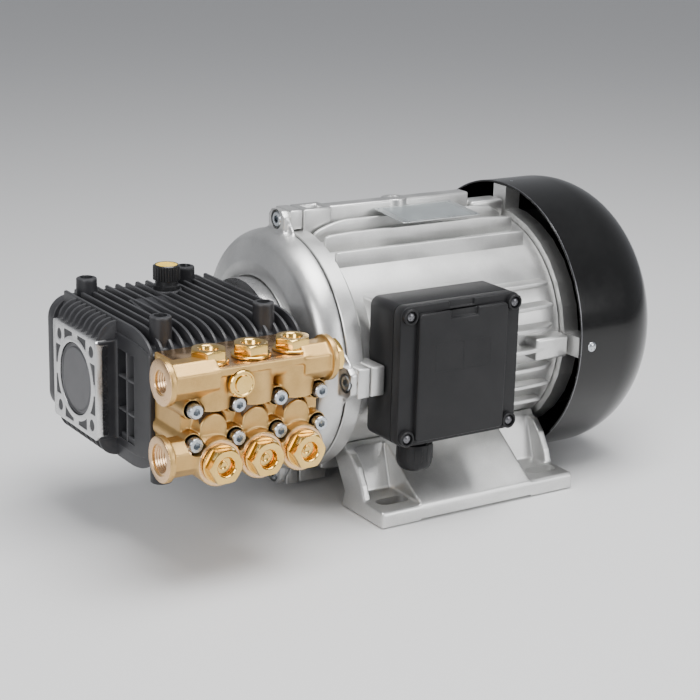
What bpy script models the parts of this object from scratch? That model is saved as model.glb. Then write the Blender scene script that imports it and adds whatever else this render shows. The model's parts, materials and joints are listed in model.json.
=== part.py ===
"""Pressure washer pump: a three-plunger pump on the end of a foot-mounted electric motor.

Metres, +Z up. The shaft lies along X with the fan at +X. The pump head and the terminal box face -Y.

Every length is laid out in a working frame: x is 0 on the joint between the motor's bell and its housing,
y is 0 on the shaft, and z is 0 on the foot faces. One empty shifts that frame, so that the world origin is
the centre of the finished pump's bounding box, at its base.
"""

import math

import bmesh
import bpy
from mathutils import Matrix, Vector

# ---- clearances -------------------------------------------------------------------------------------
gap = 0.0003                    # between pieces that touch, and around pieces that run in each other
overlap = 0.002                 # how far shapes that are joined reach into each other
hairline = 0.000003             # corners nearer than this become one
reach = 0.004                   # how far a cutter runs past the face that it opens

# ---- shaft line ---------------------------------------------------------------------------------------
axis_height = 0.112             # shaft centre above the foot faces
shaft_end_radius = 0.014        # the motor's output end, inside the crankshaft
shaft_bearing_radius = 0.015
shaft_core_radius = 0.020
shaft_tail_radius = 0.012       # under the fan
motor_bearing_radius = 0.031
motor_bearing_width = 0.016
rear_bearing_inset = 0.006      # how far the rear bearing reaches into the housing

# ---- crank drive --------------------------------------------------------------------------------------
crank_throw = 0.005             # half the plunger stroke
plunger_count = 3
plunger_pitch = 0.0319
plunger_radius = 0.009
plunger_length = 0.045
eccentric_radius = 0.016
eccentric_width = 0.014
collar_bite = 0.0002            # how far the collars reach into the outer eccentrics
rod_ring_wall = 0.0045
rod_length = 0.052              # crank pin centre to small end centre
rod_small_end_radius = 0.004
rod_shank_height = 0.007
rod_width = 0.009
crosshead_radius = 0.0124
crosshead_length = 0.034
crosshead_rear = -0.038         # rear end of a crosshead at mid stroke
hub_radius = 0.020              # crankshaft end that slips over the motor shaft
hub_end = -0.014
end_journal_radius = 0.0125
end_journal_bearing_radius = 0.026
end_journal_bearing_width = 0.015
main_bearing_radius = 0.040
main_bearing_width = 0.018
main_bearing_inset = 0.008      # from the end of the crankcase's neck

# ---- crankcase ----------------------------------------------------------------------------------------
bell_depth = 0.0252             # bell's front rim to the joint plane
bell_wall = 0.006
spigot_depth = 0.006            # how far the crankcase seats into the bell
spigot_radius = 0.0571
spigot_length = 0.011           # the round neck between the crankcase body and the bell
end_plunger_inset = 0.0318      # from the body's motor end to the nearest plunger
end_wall_inset = 0.0242         # from the body's far end to the nearest plunger
end_block_length = 0.0155
end_block_half_height = 0.036
end_block_front = -0.036
end_block_rear = 0.037
end_cover_radius = 0.0266
end_ring_radius = 0.0305
end_bolt_spacing = 0.0534
end_bolt_hole_radius = 0.0033
end_pocket_depth = 0.008
end_block_rim = 0.003
crankcase_front = -0.085
crankcase_rear = 0.056
deck_half_height = 0.041
fin_rise = 0.009
fin_pitch = 0.0082
fin_thickness = 0.0022
front_curve_start = -0.052
front_edge_half_height = 0.036
cavity_half_height = 0.034
cavity_front = -0.040
cavity_end_wall = 0.008
boss_half_height = 0.060
boss_radius = 0.0080
boss_hole_radius = 0.0045
boss_hole_depth = 0.012
boss_spacing = 0.080
boss_front = -0.071
boss_rear = 0.0476
side_pocket_depth = 0.0065
rear_cover_thickness = 0.010
rear_cover_half_height = 0.044
rear_cover_lip = 0.007          # past the body's far end
rear_cover_corner = 0.016
sight_glass_radius = 0.011
sight_glass_thickness = 0.006
sight_glass_height = -0.012     # from the shaft axis
oil_cap_radius = 0.0102
oil_cap_height = 0.018
oil_cap_stem_radius = 0.0062
oil_cap_stem_length = 0.010
oil_cap_y = 0.026
oil_cap_shift = 0.014           # from the middle plunger towards the motor
oil_cap_disc_radius = 0.0082
oil_cap_disc_depth = 0.0012

# ---- pump head ----------------------------------------------------------------------------------------
head_depth = 0.0525             # back face to the front of the lobes
head_end_margin = 0.0045        # past the outer bolts
head_bolt_rise = 0.0116         # bolt rows above and below the shaft axis
head_bolt_radius = 0.003
head_bolt_head_radius = 0.005
head_bolt_head_length = 0.006
head_bolt_seat = 0.0465         # bolt seats, from the head's back face
head_bolt_grip = 0.013          # thread length in the crankcase
head_plate_top = 0.040          # top plate above the axis
head_plate_thickness = 0.006
head_bottom = 0.0385            # underside below the axis
valve_bore_radius = 0.0085
valve_seat_radius = 0.0055
delivery_seat_rise = 0.0045     # above the plunger bores
delivery_bore_depth = 0.0387    # delivery valve axis, from the head's back face
delivery_lobe_radius = 0.0155
suction_axis_drop = 0.0253      # suction valve axis below the shaft axis
suction_boss_radius = 0.0165
suction_boss_face = 0.0555      # from the head's back face
suction_seat = 0.0287           # from the head's back face
plunger_bore_depth = 0.045
seal_radius = 0.0127
seal_length = 0.016
outlet_rise = 0.0326            # outlet gallery above the shaft axis
outlet_depth = 0.0441           # outlet gallery axis, from the head's back face
outlet_bore_radius = 0.0055
outlet_sleeve_radius = 0.0073
outlet_port_radius = 0.0079
inlet_drop = 0.0207
inlet_depth = 0.0417
inlet_bore_radius = 0.0043
inlet_sleeve_radius = 0.0080
inlet_port_radius = 0.01025
port_face = -0.168
port_flange_radius = 0.0165
port_flange_length = 0.0045
port_neck_radius = 0.0135
port_thread_depth = 0.014
cap_flange_radius = 0.0135
cap_hex_radius = 0.0128         # across corners
cap_hex_height = 0.0075
cap_flange_height = 0.0018
cap_thread_length = 0.007
cap_recess_radius = 0.0072
cap_recess_depth = 0.006
valve_disc_radius = 0.0074
valve_disc_thickness = 0.0025
valve_stem_radius = 0.002
valve_stem_length = 0.005
valve_lift = 0.0025
gauge_plug_radius = 0.0095
gauge_plug_rise = 0.0272
gauge_plug_length = 0.0035
gauge_plug_seat = 0.0145        # in front of the delivery valve axes
plug_hex_radius = 0.0125
plug_hex_length = 0.006

# ---- motor --------------------------------------------------------------------------------------------
housing_length = 0.200
housing_joint_radius = 0.0921
housing_wall_radius = 0.0850
housing_bore_radius = 0.0783
joint_ring_length = 0.014
motor_fin_rise = 0.100           # middle fin tip above the axis
motor_fin_curve = 8.3            # how fast the tips drop away from the middle fin
fin_envelope_radius = 0.1050
motor_fin_pitch = 0.0155
motor_fin_thickness = 0.0032
motor_fin_start = 0.018
motor_fin_full = 0.046
motor_fin_end_inset = 0.010     # from the housing's fan end, as are the insets below
ear_reach = 0.1075              # how far the screw ears stand from the axis
ear_half_width = 0.0115
ear_screw_offset = 0.0995       # screw axis from the shaft axis
bell_ear_front = -0.007
bell_ear_back = 0.010
bell_screw_seat = 0.004
ear_recess_radius = 0.0075
ear_screw_radius = 0.0040
lug_length = 0.025
front_lug_length = 0.012        # ends before the terminal box
rail_half_width = 0.007
rail_end_inset = 0.035
stator_start = 0.035
stator_end_inset = 0.035
stator_bore_radius = 0.0500
slot_count = 9
slot_depth = 0.013
slot_width = 0.008
winding_overhang = 0.018
rotor_radius = 0.0492
shield_length = 0.014
shield_radius = 0.0900
fan_hub_radius = 0.017
fan_radius = 0.0850
fan_blade_count = 8
fan_blade_thickness = 0.003
fan_clearance = 0.022           # behind the housing
fan_width = 0.030
fan_disc_thickness = 0.003
fan_disc_radius = 0.068
cowl_radius = 0.1105
cowl_wall = 0.0012
cowl_length = 0.095
cowl_dome = 0.050               # length of the rounded end
cowl_grille_radius = 0.062
cowl_slot_count = 12
cowl_slot_inner = 0.018
cowl_slot_outer = 0.056
cowl_slot_half_width = 0.0045

# ---- feet ---------------------------------------------------------------------------------------------
foot_start = 0.0195
foot_end_inset = 0.0024
foot_half_width = 0.1137
foot_pad_thickness = 0.0132
foot_pad_inner = 0.0717
foot_leg_thickness = 0.011
foot_leg_top = 0.0616
foot_rib_left = 0.0543
foot_rib_right_inset = 0.0426
foot_plate_top = 0.0463
foot_slot_front = 0.040
foot_slot_end_inset = 0.020
foot_slot_y = 0.095
foot_slot_half_width = 0.006
foot_slot_length = 0.026
foot_mid_relief = 0.002
foot_hollow_inset = 0.012
foot_rib_thickness = 0.006

# ---- terminal box -------------------------------------------------------------------------------------
box_left = 0.0235
box_right = 0.1290
box_drop = 0.0475               # from the shaft axis down to the box's underside
box_rise = 0.0570
box_back = -0.083
box_joint = -0.113
box_front = -0.127
box_wall = 0.0028
box_corner = 0.007
box_crown_rise = 0.0045         # raised panel of the lid
box_crown_inset = 0.013
pad_inset = 0.003
box_clearance = 0.002           # cut back from the fins all round the box
wire_hole_radius = 0.012
gland_x = 0.0560
gland_y = -0.099
gland_radius = 0.0095
gland_hole_radius = 0.0052
gland_body_length = 0.019
gland_nut_radius = 0.0135
gland_nut_length = 0.021
gland_thread_in_box = 0.006
board_size = (0.050, 0.012, 0.030)
board_rise = 0.015              # from the middle of the box to the board
stud_pitch = 0.016
stud_length = 0.005
plate_size = (0.072, 0.041, 0.0008)
plate_place = (0.110, -0.028, 0.1000)    # from the shaft axis at the joint
plate_tilt = 0.085              # radians, down towards the front

# ---- what follows from them ---------------------------------------------------------------------------
web_radius = eccentric_radius - crank_throw - gap
motor_fin_end = housing_length - motor_fin_end_inset
rail_end = housing_length - rail_end_inset
stator_length = housing_length - stator_end_inset - stator_start
fan_start = housing_length + fan_clearance
cowl_start = housing_length + gap
foot_end = housing_length - foot_end_inset
foot_rib_right = housing_length - foot_rib_right_inset
foot_slot_x = (foot_slot_front, housing_length - foot_slot_end_inset)
box_bottom = axis_height - box_drop
box_top = axis_height + box_rise
plate_centre = (plate_place[0], plate_place[1], axis_height + plate_place[2])
recess_floor = spigot_depth - bell_depth
front_bearing_start = recess_floor + bell_wall + gap
rear_bearing_start = housing_length - rear_bearing_inset
main_bearing_left = recess_floor - main_bearing_inset - main_bearing_width
shaft_end = main_bearing_left - 0.004
body_right = -(bell_depth + spigot_length - 0.002)
last_plunger_x = body_right - end_plunger_inset
plunger_x = [last_plunger_x - plunger_pitch * (plunger_count - 1 - k) for k in range(plunger_count)]
pump_centre_x = (plunger_x[0] + plunger_x[-1]) / 2
oil_cap_x = pump_centre_x + oil_cap_shift
body_left = plunger_x[0] - end_wall_inset
crankcase_end = body_left - end_block_length
fin_half_height = deck_half_height + fin_rise
crank_phase = [2 * math.pi * k / plunger_count for k in range(plunger_count)]
head_back = crankcase_front - gap
bolt_x = [plunger_x[0] + plunger_pitch * (k - 0.5) for k in range(plunger_count + 1)]
head_left = bolt_x[0] - head_end_margin
head_right = bolt_x[-1] + head_end_margin
head_front = head_back - head_depth
delivery_y = head_back - delivery_bore_depth
delivery_seat_z = axis_height + plunger_radius + delivery_seat_rise
suction_z = axis_height - suction_axis_drop
suction_face = head_back - suction_boss_face
suction_seat_y = head_back - suction_seat
plate_top_z = axis_height + head_plate_top
outlet_y = head_back - outlet_depth
outlet_z = axis_height + outlet_rise
inlet_y = head_back - inlet_depth
inlet_z = axis_height - inlet_drop
outlet_plug_face = head_right + port_flange_length + 2 * gap
box_middle_x = (box_left + box_right) / 2
box_middle_z = (box_bottom + box_top) / 2
cap_rise = cap_flange_height + cap_hex_height
cowl_end = cowl_start + cowl_length
front_limit = suction_face - gap - cap_rise
origin_shift = Vector((-(crankcase_end + cowl_end) / 2, -(front_limit + foot_half_width) / 2, 0.0))

# ---- scene ---------------------------------------------------------------------------------------------
for old in list(bpy.data.objects):
    bpy.data.objects.remove(old, do_unlink=True)
pump = bpy.data.collections.new("pressure_washer_pump")
bpy.context.scene.collection.children.link(pump)
bench = bpy.data.collections.new("cutters")
bpy.context.scene.collection.children.link(bench)


def empty(name, place, parent=None):
    """A named frame that pieces hang on."""
    holder = bpy.data.objects.new(name, None)
    holder.empty_display_size = 0.02
    holder.parent = parent
    holder.location = place
    pump.objects.link(holder)
    return holder


def finish(name, colour, roughness, metallic):
    """A plain Principled material."""
    surface = bpy.data.materials.new(name)
    surface.use_nodes = True
    shader = surface.node_tree.nodes["Principled BSDF"]
    shader.inputs["Base Color"].default_value = (*colour, 1.0)
    shader.inputs["Roughness"].default_value = roughness
    shader.inputs["Metallic"].default_value = metallic
    surface.diffuse_color = (*colour, 1.0)
    return surface


pump_frame = empty("pump_frame", origin_shift)
rotor_axis = empty("rotor_axis", (0.0, 0.0, axis_height), pump_frame)

cast_aluminium = finish("cast_aluminium", (0.62, 0.62, 0.61), 0.45, 1.0)
black_casting = finish("black_casting", (0.045, 0.045, 0.05), 0.5, 0.4)
brass = finish("brass", (0.74, 0.52, 0.27), 0.35, 1.0)
brass_bright = finish("brass_bright", (0.85, 0.62, 0.25), 0.2, 1.0)
steel = finish("steel", (0.56, 0.57, 0.58), 0.3, 1.0)
zinc = finish("zinc", (0.55, 0.57, 0.58), 0.35, 1.0)
ceramic = finish("ceramic", (0.85, 0.83, 0.78), 0.2, 0.0)
black_rubber = finish("black_rubber", (0.03, 0.03, 0.03), 0.7, 0.0)
black_plastic = finish("black_plastic", (0.03, 0.03, 0.032), 0.45, 0.0)
black_paint = finish("black_paint", (0.01, 0.01, 0.01), 0.12, 0.2)
yellow_plastic = finish("yellow_plastic", (0.9, 0.62, 0.08), 0.4, 0.0)
clear_plastic = finish("clear_plastic", (0.7, 0.75, 0.7), 0.1, 0.0)
electrical_steel = finish("electrical_steel", (0.35, 0.35, 0.36), 0.4, 1.0)
copper = finish("copper", (0.7, 0.32, 0.16), 0.35, 1.0)
grey_plate = finish("grey_plate", (0.68, 0.70, 0.70), 0.3, 1.0)


# ---- shapes --------------------------------------------------------------------------------------------
def from_cage(cage):
    """Turns an edited cage into an object, closed and facing out."""
    bmesh.ops.remove_doubles(cage, verts=cage.verts, dist=0.000001)
    bmesh.ops.recalc_face_normals(cage, faces=cage.faces)
    if cage.calc_volume(signed=True) < 0:
        bmesh.ops.reverse_faces(cage, faces=cage.faces)
    mesh = bpy.data.meshes.new("shape")
    cage.to_mesh(mesh)
    cage.free()
    shape = bpy.data.objects.new("shape", mesh)
    bench.objects.link(shape)
    return shape


def block(x_span, y_span, z_span):
    """A box between a low and a high value on each axis."""
    spans = (x_span, y_span, z_span)
    size = [abs(high - low) for low, high in spans]
    centre = [(high + low) / 2 for low, high in spans]
    cage = bmesh.new()
    place = Matrix.Translation(centre) @ Matrix.Diagonal((*size, 1.0))
    bmesh.ops.create_cube(cage, size=1.0, matrix=place)
    return from_cage(cage)


def rod(start, end, radius, sides=24, end_radius=None, turn=0.0):
    """A cylinder, prism or cone from one point to another."""
    start = Vector(start)
    end = Vector(end)
    run = end - start
    aim = run.to_track_quat("Z", "Y").to_matrix().to_4x4() @ Matrix.Rotation(turn, 4, "Z")
    cage = bmesh.new()
    bmesh.ops.create_cone(
        cage,
        cap_ends=True,
        segments=sides,
        radius1=radius,
        radius2=radius if end_radius is None else end_radius,
        depth=run.length,
        matrix=Matrix.Translation((start + end) / 2) @ aim,
    )
    return from_cage(cage)


def evaluated_mesh(shape):
    """The mesh that a shape's modifiers or curve settings make."""
    view = bpy.context.evaluated_depsgraph_get()
    return bpy.data.meshes.new_from_object(shape.evaluated_get(view))


def turned(profile, sides=48, centre=(0.0, 0.0, axis_height)):
    """A turned piece along X from (x, radius) points; the ends may lie on the axis or meet as a ring."""
    points = list(profile)
    ring = all(radius > 0 for _, radius in points)
    area = sum(a[0] * b[1] - b[0] * a[1] for a, b in zip(points, points[1:] + points[:1]))
    if area < 0:
        points.reverse()
    outline = bpy.data.meshes.new("profile")
    edges = [(k, k + 1) for k in range(len(points) - 1)]
    if ring:
        edges.append((len(points) - 1, 0))
    outline.from_pydata([(radius, 0.0, x) for x, radius in points], edges, [])
    shape = bpy.data.objects.new("profile", outline)
    bench.objects.link(shape)
    spin = shape.modifiers.new("turn", "SCREW")
    spin.axis = "Z"
    spin.steps = sides
    spin.render_steps = sides
    spin.use_merge_vertices = True
    spin.merge_threshold = 0.00001
    cage = bmesh.new()
    cage.from_mesh(evaluated_mesh(shape))
    bpy.data.objects.remove(shape)
    lay = Matrix(((0, 0, 1, centre[0]), (0, 1, 0, centre[1]), (-1, 0, 0, centre[2]), (0, 0, 0, 1)))
    bmesh.ops.transform(cage, matrix=lay, verts=cage.verts)
    return from_cage(cage)


def flat(outlines, axis, low, high):
    """A flat outline, with any holes, given thickness between two values on an axis.

    The outline's points are (y, z) for axis X, (x, z) for axis Y and (x, y) for axis Z.
    """
    drawing = bpy.data.curves.new("outline", "CURVE")
    drawing.dimensions = "2D"
    drawing.fill_mode = "BOTH"
    drawing.extrude = abs(high - low) / 2
    for outline in outlines:
        line = drawing.splines.new("POLY")
        line.points.add(len(outline) - 1)
        for point, (across, up) in zip(line.points, outline):
            point.co = (across, up, 0.0, 1.0)
        line.use_cyclic_u = True
    shape = bpy.data.objects.new("outline", drawing)
    bench.objects.link(shape)
    cage = bmesh.new()
    cage.from_mesh(evaluated_mesh(shape))
    bpy.data.objects.remove(shape)
    middle = (low + high) / 2
    lay = {
        "X": Matrix(((0, 0, 1, middle), (1, 0, 0, 0), (0, 1, 0, 0), (0, 0, 0, 1))),
        "Y": Matrix(((1, 0, 0, 0), (0, 0, -1, middle), (0, 1, 0, 0), (0, 0, 0, 1))),
        "Z": Matrix(((1, 0, 0, 0), (0, 1, 0, 0), (0, 0, 1, middle), (0, 0, 0, 1))),
    }[axis]
    bmesh.ops.transform(cage, matrix=lay, verts=cage.verts)
    return from_cage(cage)


def combine(base, others, operation):
    """Applies one Boolean after another, closes hairline edges after each and removes the tools."""
    for other in others:
        other.hide_render = True
        other.display_type = "WIRE"
        step = base.modifiers.new(operation.lower(), "BOOLEAN")
        step.operation = operation
        step.solver = "EXACT"
        step.object = other
        result = evaluated_mesh(base)
        base.modifiers.clear()
        bpy.data.objects.remove(other)
        cage = bmesh.new()
        cage.from_mesh(result)
        bmesh.ops.remove_doubles(cage, verts=cage.verts, dist=hairline)
        bmesh.ops.dissolve_degenerate(cage, edges=cage.edges, dist=hairline)
        cage.to_mesh(result)
        cage.free()
        base.data = result
    return base


def join(base, *others):
    return combine(base, others, "UNION")


def cut(base, *others):
    return combine(base, others, "DIFFERENCE")


def common(base, other):
    return combine(base, (other,), "INTERSECT")


def piece(name, shape, surface, origin=(0.0, 0.0, 0.0), parent=None):
    """Names a finished shape, moves its origin and hangs it on its frame."""
    holder = parent or pump_frame
    origin = Vector(origin)
    mesh = shape.data
    mesh.transform(Matrix.Translation(-origin))
    mesh.name = name
    mesh.materials.clear()
    mesh.materials.append(surface)
    mesh.shade_smooth()
    mesh.set_sharp_from_angle(angle=math.radians(35))
    shape.name = name
    shape.parent = holder
    above = Vector((0.0, 0.0, 0.0)) if holder is pump_frame else holder.location
    shape.location = origin - above
    bench.objects.unlink(shape)
    pump.objects.link(shape)
    return shape


def arc(centre, radius, start, stop, steps):
    """Points on an arc, from one angle to another in degrees."""
    angles = [math.radians(start + (stop - start) * k / steps) for k in range(steps + 1)]
    return [(centre[0] + radius * math.cos(a), centre[1] + radius * math.sin(a)) for a in angles]


def rounded(low, high, radius, steps=3):
    """A rectangle between two corner points, with round corners."""
    corners = (
        ((high[0] - radius, high[1] - radius), 0),
        ((low[0] + radius, high[1] - radius), 90),
        ((low[0] + radius, low[1] + radius), 180),
        ((high[0] - radius, low[1] + radius), 270),
    )
    return [point for centre, start in corners for point in arc(centre, radius, start, start + 90, steps)]


def comb(low, high, base, tip, pitch, thickness):
    """The edge of a row of fins, from low to high, as (along, height) points."""
    count = int((high - low - thickness) / pitch) + 1
    first = (low + high) / 2 - pitch * (count - 1) / 2
    edge = []
    for k in range(count):
        left = first + pitch * k - thickness / 2
        edge += [(left, base), (left, tip), (left + thickness, tip), (left + thickness, base)]
    return edge


# ---- crankcase -----------------------------------------------------------------------------------------
def finned_body():
    """The crankcase block, with fins above and below that bend down towards the head."""
    top = comb(body_left, body_right, axis_height + deck_half_height, axis_height + fin_half_height + reach,
               fin_pitch, fin_thickness)
    bottom = [(x, 2 * axis_height - z) for x, z in top]
    left = [(body_left, axis_height - deck_half_height), (body_left, axis_height + deck_half_height)]
    right = [(body_right, axis_height + deck_half_height), (body_right, axis_height - deck_half_height)]
    body = flat([left + top + right + bottom[::-1]], "Y", crankcase_front - reach, crankcase_rear + reach)
    across = front_curve_start - crankcase_front
    drop = fin_half_height - front_edge_half_height
    upper = [(crankcase_rear, axis_height + fin_half_height)]
    for k in range(5):
        bend = math.pi / 2 * k / 4
        upper.append((front_curve_start - across * math.sin(bend),
                      axis_height + fin_half_height - drop * (1 - math.cos(bend))))
    lower = [(y, 2 * axis_height - z) for y, z in upper]
    side = flat([upper + lower[::-1]], "X", body_left - reach, body_right + reach)
    return common(body, side)


def end_pockets():
    """Eight pockets in the machined end, between its ring and its rim."""
    outer = end_block_half_height - end_block_rim
    near = 0.0041
    far = 0.0185
    ring = [(y, math.sqrt(end_ring_radius ** 2 - y ** 2)) for y in (far, (near + far) / 2, near)]
    outline = [(near, outer), (far, outer)] + ring
    pockets = []
    for quarter in range(4):
        for mirror in (1, -1):
            turn = quarter * math.pi / 2
            points = [
                (mirror * y * math.cos(turn) - z * math.sin(turn),
                 axis_height + mirror * y * math.sin(turn) + z * math.cos(turn))
                for y, z in outline
            ]
            pockets.append(flat([points], "X", crankcase_end - reach, crankcase_end + end_pocket_depth))
    return pockets


def end_block():
    """The machined end, and above and below it fins that curve up to the deck."""
    top = comb(end_block_front, end_block_rear, axis_height + end_block_half_height,
               axis_height + fin_half_height + reach, fin_pitch, fin_thickness)
    bottom = [(y, 2 * axis_height - z) for y, z in top]
    front = [(end_block_front, axis_height + sign * end_block_half_height) for sign in (-1, 1)]
    rear = [(end_block_rear, axis_height + sign * end_block_half_height) for sign in (1, -1)]
    stop = body_left + overlap
    body = flat([front + top + rear + bottom[::-1]], "X", crankcase_end - reach, stop + reach)
    start = crankcase_end + end_block_rim
    rise = fin_half_height - overlap / 2 - end_block_half_height
    upper = [(crankcase_end, axis_height + end_block_half_height)]
    for k in range(1, 5):
        bend = math.pi / 2 * k / 4
        upper.append((stop - (stop - start) * math.cos(bend),
                      axis_height + end_block_half_height + rise * math.sin(bend)))
    lower = [(x, 2 * axis_height - z) for x, z in upper]
    side = flat([upper + lower[::-1]], "Y", end_block_front - reach, end_block_rear + reach)
    return common(body, side)


def crankcase():
    body = finned_body()
    neck = rod(
        (body_right - overlap, 0.0, axis_height),
        (-(bell_depth - spigot_depth) - gap, 0.0, axis_height),
        spigot_radius,
        sides=32,
    )
    bosses = []
    holes = []
    for x in (pump_centre_x - boss_spacing / 2, pump_centre_x + boss_spacing / 2):
        for y in (boss_front, boss_rear):
            for sign in (1, -1):
                root = (x, y, axis_height + sign * (front_edge_half_height - 0.006))
                tip = (x, y, axis_height + sign * boss_half_height)
                bottom = (x, y, axis_height + sign * (boss_half_height - boss_hole_depth))
                past = (x, y, axis_height + sign * (boss_half_height + reach))
                bosses.append(rod(root, tip, boss_radius, sides=10))
                holes.append(rod(bottom, past, boss_hole_radius, sides=6))
    join(body, end_block(), neck, *bosses)
    cavity = block(
        (body_left + cavity_end_wall, body_right - main_bearing_width),
        (cavity_front, crankcase_rear + reach),
        (axis_height - cavity_half_height, axis_height + cavity_half_height),
    )
    end_bore = rod(
        (crankcase_end - reach, 0.0, axis_height),
        (body_left + cavity_end_wall + overlap, 0.0, axis_height),
        end_journal_bearing_radius + gap,
        sides=24,
    )
    main_bore = rod(
        (main_bearing_left - gap, 0.0, axis_height),
        (reach, 0.0, axis_height),
        main_bearing_radius + gap,
        sides=32,
    )
    web_hole = rod(
        (body_right - main_bearing_width - overlap, 0.0, axis_height),
        (main_bearing_left, 0.0, axis_height),
        main_bearing_radius - 0.012,
        sides=24,
    )
    guides = [
        rod((x, crankcase_front - reach, axis_height), (x, cavity_front + overlap, axis_height),
            crosshead_radius + 2 * gap, sides=18)
        for x in plunger_x
    ]
    threads = [
        rod((x, crankcase_front - reach, axis_height + sign * head_bolt_rise),
            (x, crankcase_front + head_bolt_grip + gap, axis_height + sign * head_bolt_rise),
            head_bolt_radius + 2 * gap, sides=6)
        for x in bolt_x
        for sign in (1, -1)
    ]
    end_threads = [
        rod((crankcase_end - reach, sy * end_bolt_spacing / 2, axis_height + sz * end_bolt_spacing / 2),
            (crankcase_end + 0.012, sy * end_bolt_spacing / 2, axis_height + sz * end_bolt_spacing / 2),
            end_bolt_hole_radius, sides=6)
        for sy in (1, -1)
        for sz in (1, -1)
    ]
    filler = rod(
        (oil_cap_x, oil_cap_y, axis_height + cavity_half_height - overlap),
        (oil_cap_x, oil_cap_y, axis_height + fin_half_height + reach),
        oil_cap_stem_radius + gap,
        sides=12,
    )
    side_pocket = block(
        (body_left - reach, body_left + side_pocket_depth),
        (end_block_front - 0.026, end_block_front - 0.001),
        (axis_height - 0.034, axis_height + 0.030),
    )
    join(body, rod((oil_cap_x, oil_cap_y, axis_height + deck_half_height - overlap),
                   (oil_cap_x, oil_cap_y, axis_height + fin_half_height), oil_cap_radius + 0.001, sides=12))
    cut(body, cavity, end_bore, main_bore, web_hole, filler, side_pocket,
        *guides, *threads, *end_threads, *holes, *end_pockets())
    piece("crankcase", body, black_casting)


def crankcase_rear_cover():
    low = (body_left - rear_cover_lip, axis_height - rear_cover_half_height)
    high = (body_right - overlap - gap, axis_height + rear_cover_half_height)
    start = crankcase_rear + gap
    plate = flat([rounded(low, high, rear_cover_corner, steps=1)], "Y", start, start + rear_cover_thickness)
    centre = (pump_centre_x, axis_height + sight_glass_height)
    bezel = rod((centre[0], start, centre[1]), (centre[0], start + rear_cover_thickness + 0.003, centre[1]),
                sight_glass_radius + 0.004, sides=24)
    past = start + rear_cover_thickness + reach * 2
    hole = rod((centre[0], start - reach, centre[1]), (centre[0], past, centre[1]),
               sight_glass_radius + gap, sides=24)
    join(plate, bezel)
    cut(plate, hole)
    piece("crankcase_rear_cover", plate, black_casting)
    face = start + rear_cover_thickness + 0.003
    glass = rod((centre[0], face - sight_glass_thickness, centre[1]), (centre[0], face, centre[1]),
                sight_glass_radius, sides=24)
    piece("oil_sight_glass", glass, clear_plastic)


def oil_filler():
    """The lift-out oil cap and the coloured disc in its top."""
    base = axis_height + fin_half_height + gap
    top = base + oil_cap_height
    cap = rod((oil_cap_x, oil_cap_y, base), (oil_cap_x, oil_cap_y, top), oil_cap_radius, sides=24)
    stem = rod((oil_cap_x, oil_cap_y, base - oil_cap_stem_length), (oil_cap_x, oil_cap_y, base + overlap),
               oil_cap_stem_radius, sides=16)
    recess = rod((oil_cap_x, oil_cap_y, top - oil_cap_disc_depth - gap), (oil_cap_x, oil_cap_y, top + reach),
                 oil_cap_disc_radius + gap, sides=24)
    join(cap, stem)
    cut(cap, recess)
    origin = (oil_cap_x, oil_cap_y, base)
    piece("oil_cap", cap, black_plastic, origin)
    disc = rod((oil_cap_x, oil_cap_y, top - oil_cap_disc_depth), (oil_cap_x, oil_cap_y, top),
               oil_cap_disc_radius, sides=24)
    piece("oil_cap_disc", disc, yellow_plastic, origin)


def shaft_end_cap():
    face = crankcase_end + 0.0008
    disc = turned([(face, 0.0), (face, end_cover_radius - 0.003), (face + 0.001, end_journal_bearing_radius),
                   (face + 0.005, end_journal_bearing_radius), (face + 0.005, 0.0)], sides=32)
    piece("shaft_end_cap", disc, black_casting)


# ---- crank drive ---------------------------------------------------------------------------------------
def pin_centre(k):
    """The centre of a crank pin at rest."""
    y = crank_throw * math.cos(crank_phase[k])
    z = axis_height + crank_throw * math.sin(crank_phase[k])
    return (plunger_x[k], y, z)


def crankshaft():
    first = plunger_x[0] - eccentric_width / 2
    last = plunger_x[-1] + eccentric_width / 2
    start = body_left - 0.0095
    shoulder = body_left + 0.0055
    line = turned([
        (start, 0.0), (start, end_journal_radius), (shoulder, end_journal_radius),
        (shoulder, end_journal_radius + 0.0045), (first + collar_bite, end_journal_radius + 0.0045),
        (first + collar_bite, web_radius), (last - collar_bite, web_radius),
        (last - collar_bite, hub_radius + 0.004),
        (main_bearing_left - 0.001, hub_radius + 0.004), (main_bearing_left - 0.001, hub_radius),
        (hub_end, hub_radius), (hub_end, 0.0),
    ], sides=20)
    throws = []
    for k in range(plunger_count):
        x, y, z = pin_centre(k)
        throws.append(rod((x - eccentric_width / 2, y, z), (x + eccentric_width / 2, y, z),
                          eccentric_radius, sides=20))
    join(line, *throws)
    socket = rod((shaft_end - 0.002, 0.0, axis_height), (hub_end + reach, 0.0, axis_height),
                 shaft_end_radius + gap, sides=20)
    cut(line, socket)
    piece("crankshaft", line, steel, (pump_centre_x, 0.0, axis_height), rotor_axis)


def connecting_rod(k):
    """A ring round the eccentric and a shank that reaches into the crosshead's pocket."""
    x, y, z = pin_centre(k)
    half = eccentric_width / 2 - 0.0005
    outer = eccentric_radius + 2 * gap + rod_ring_wall
    ring = rod((x - half, y, z), (x + half, y, z), outer, sides=24)
    shank = block((x - rod_width / 2, x + rod_width / 2), (y - rod_length, y - eccentric_radius - 0.002),
                  (z - rod_shank_height / 2, z + rod_shank_height / 2))
    tip = rod((x - rod_width / 2 + 0.0001, y - rod_length, z), (x + rod_width / 2 - 0.0001, y - rod_length, z),
              rod_small_end_radius, sides=12)
    join(ring, shank, tip)
    cut(ring, rod((x - half - reach, y, z), (x + half + reach, y, z), eccentric_radius + 2 * gap, sides=24))
    piece(f"connecting_rod_{k + 1}", ring, steel, (x, y, z), pump_frame)


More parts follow.
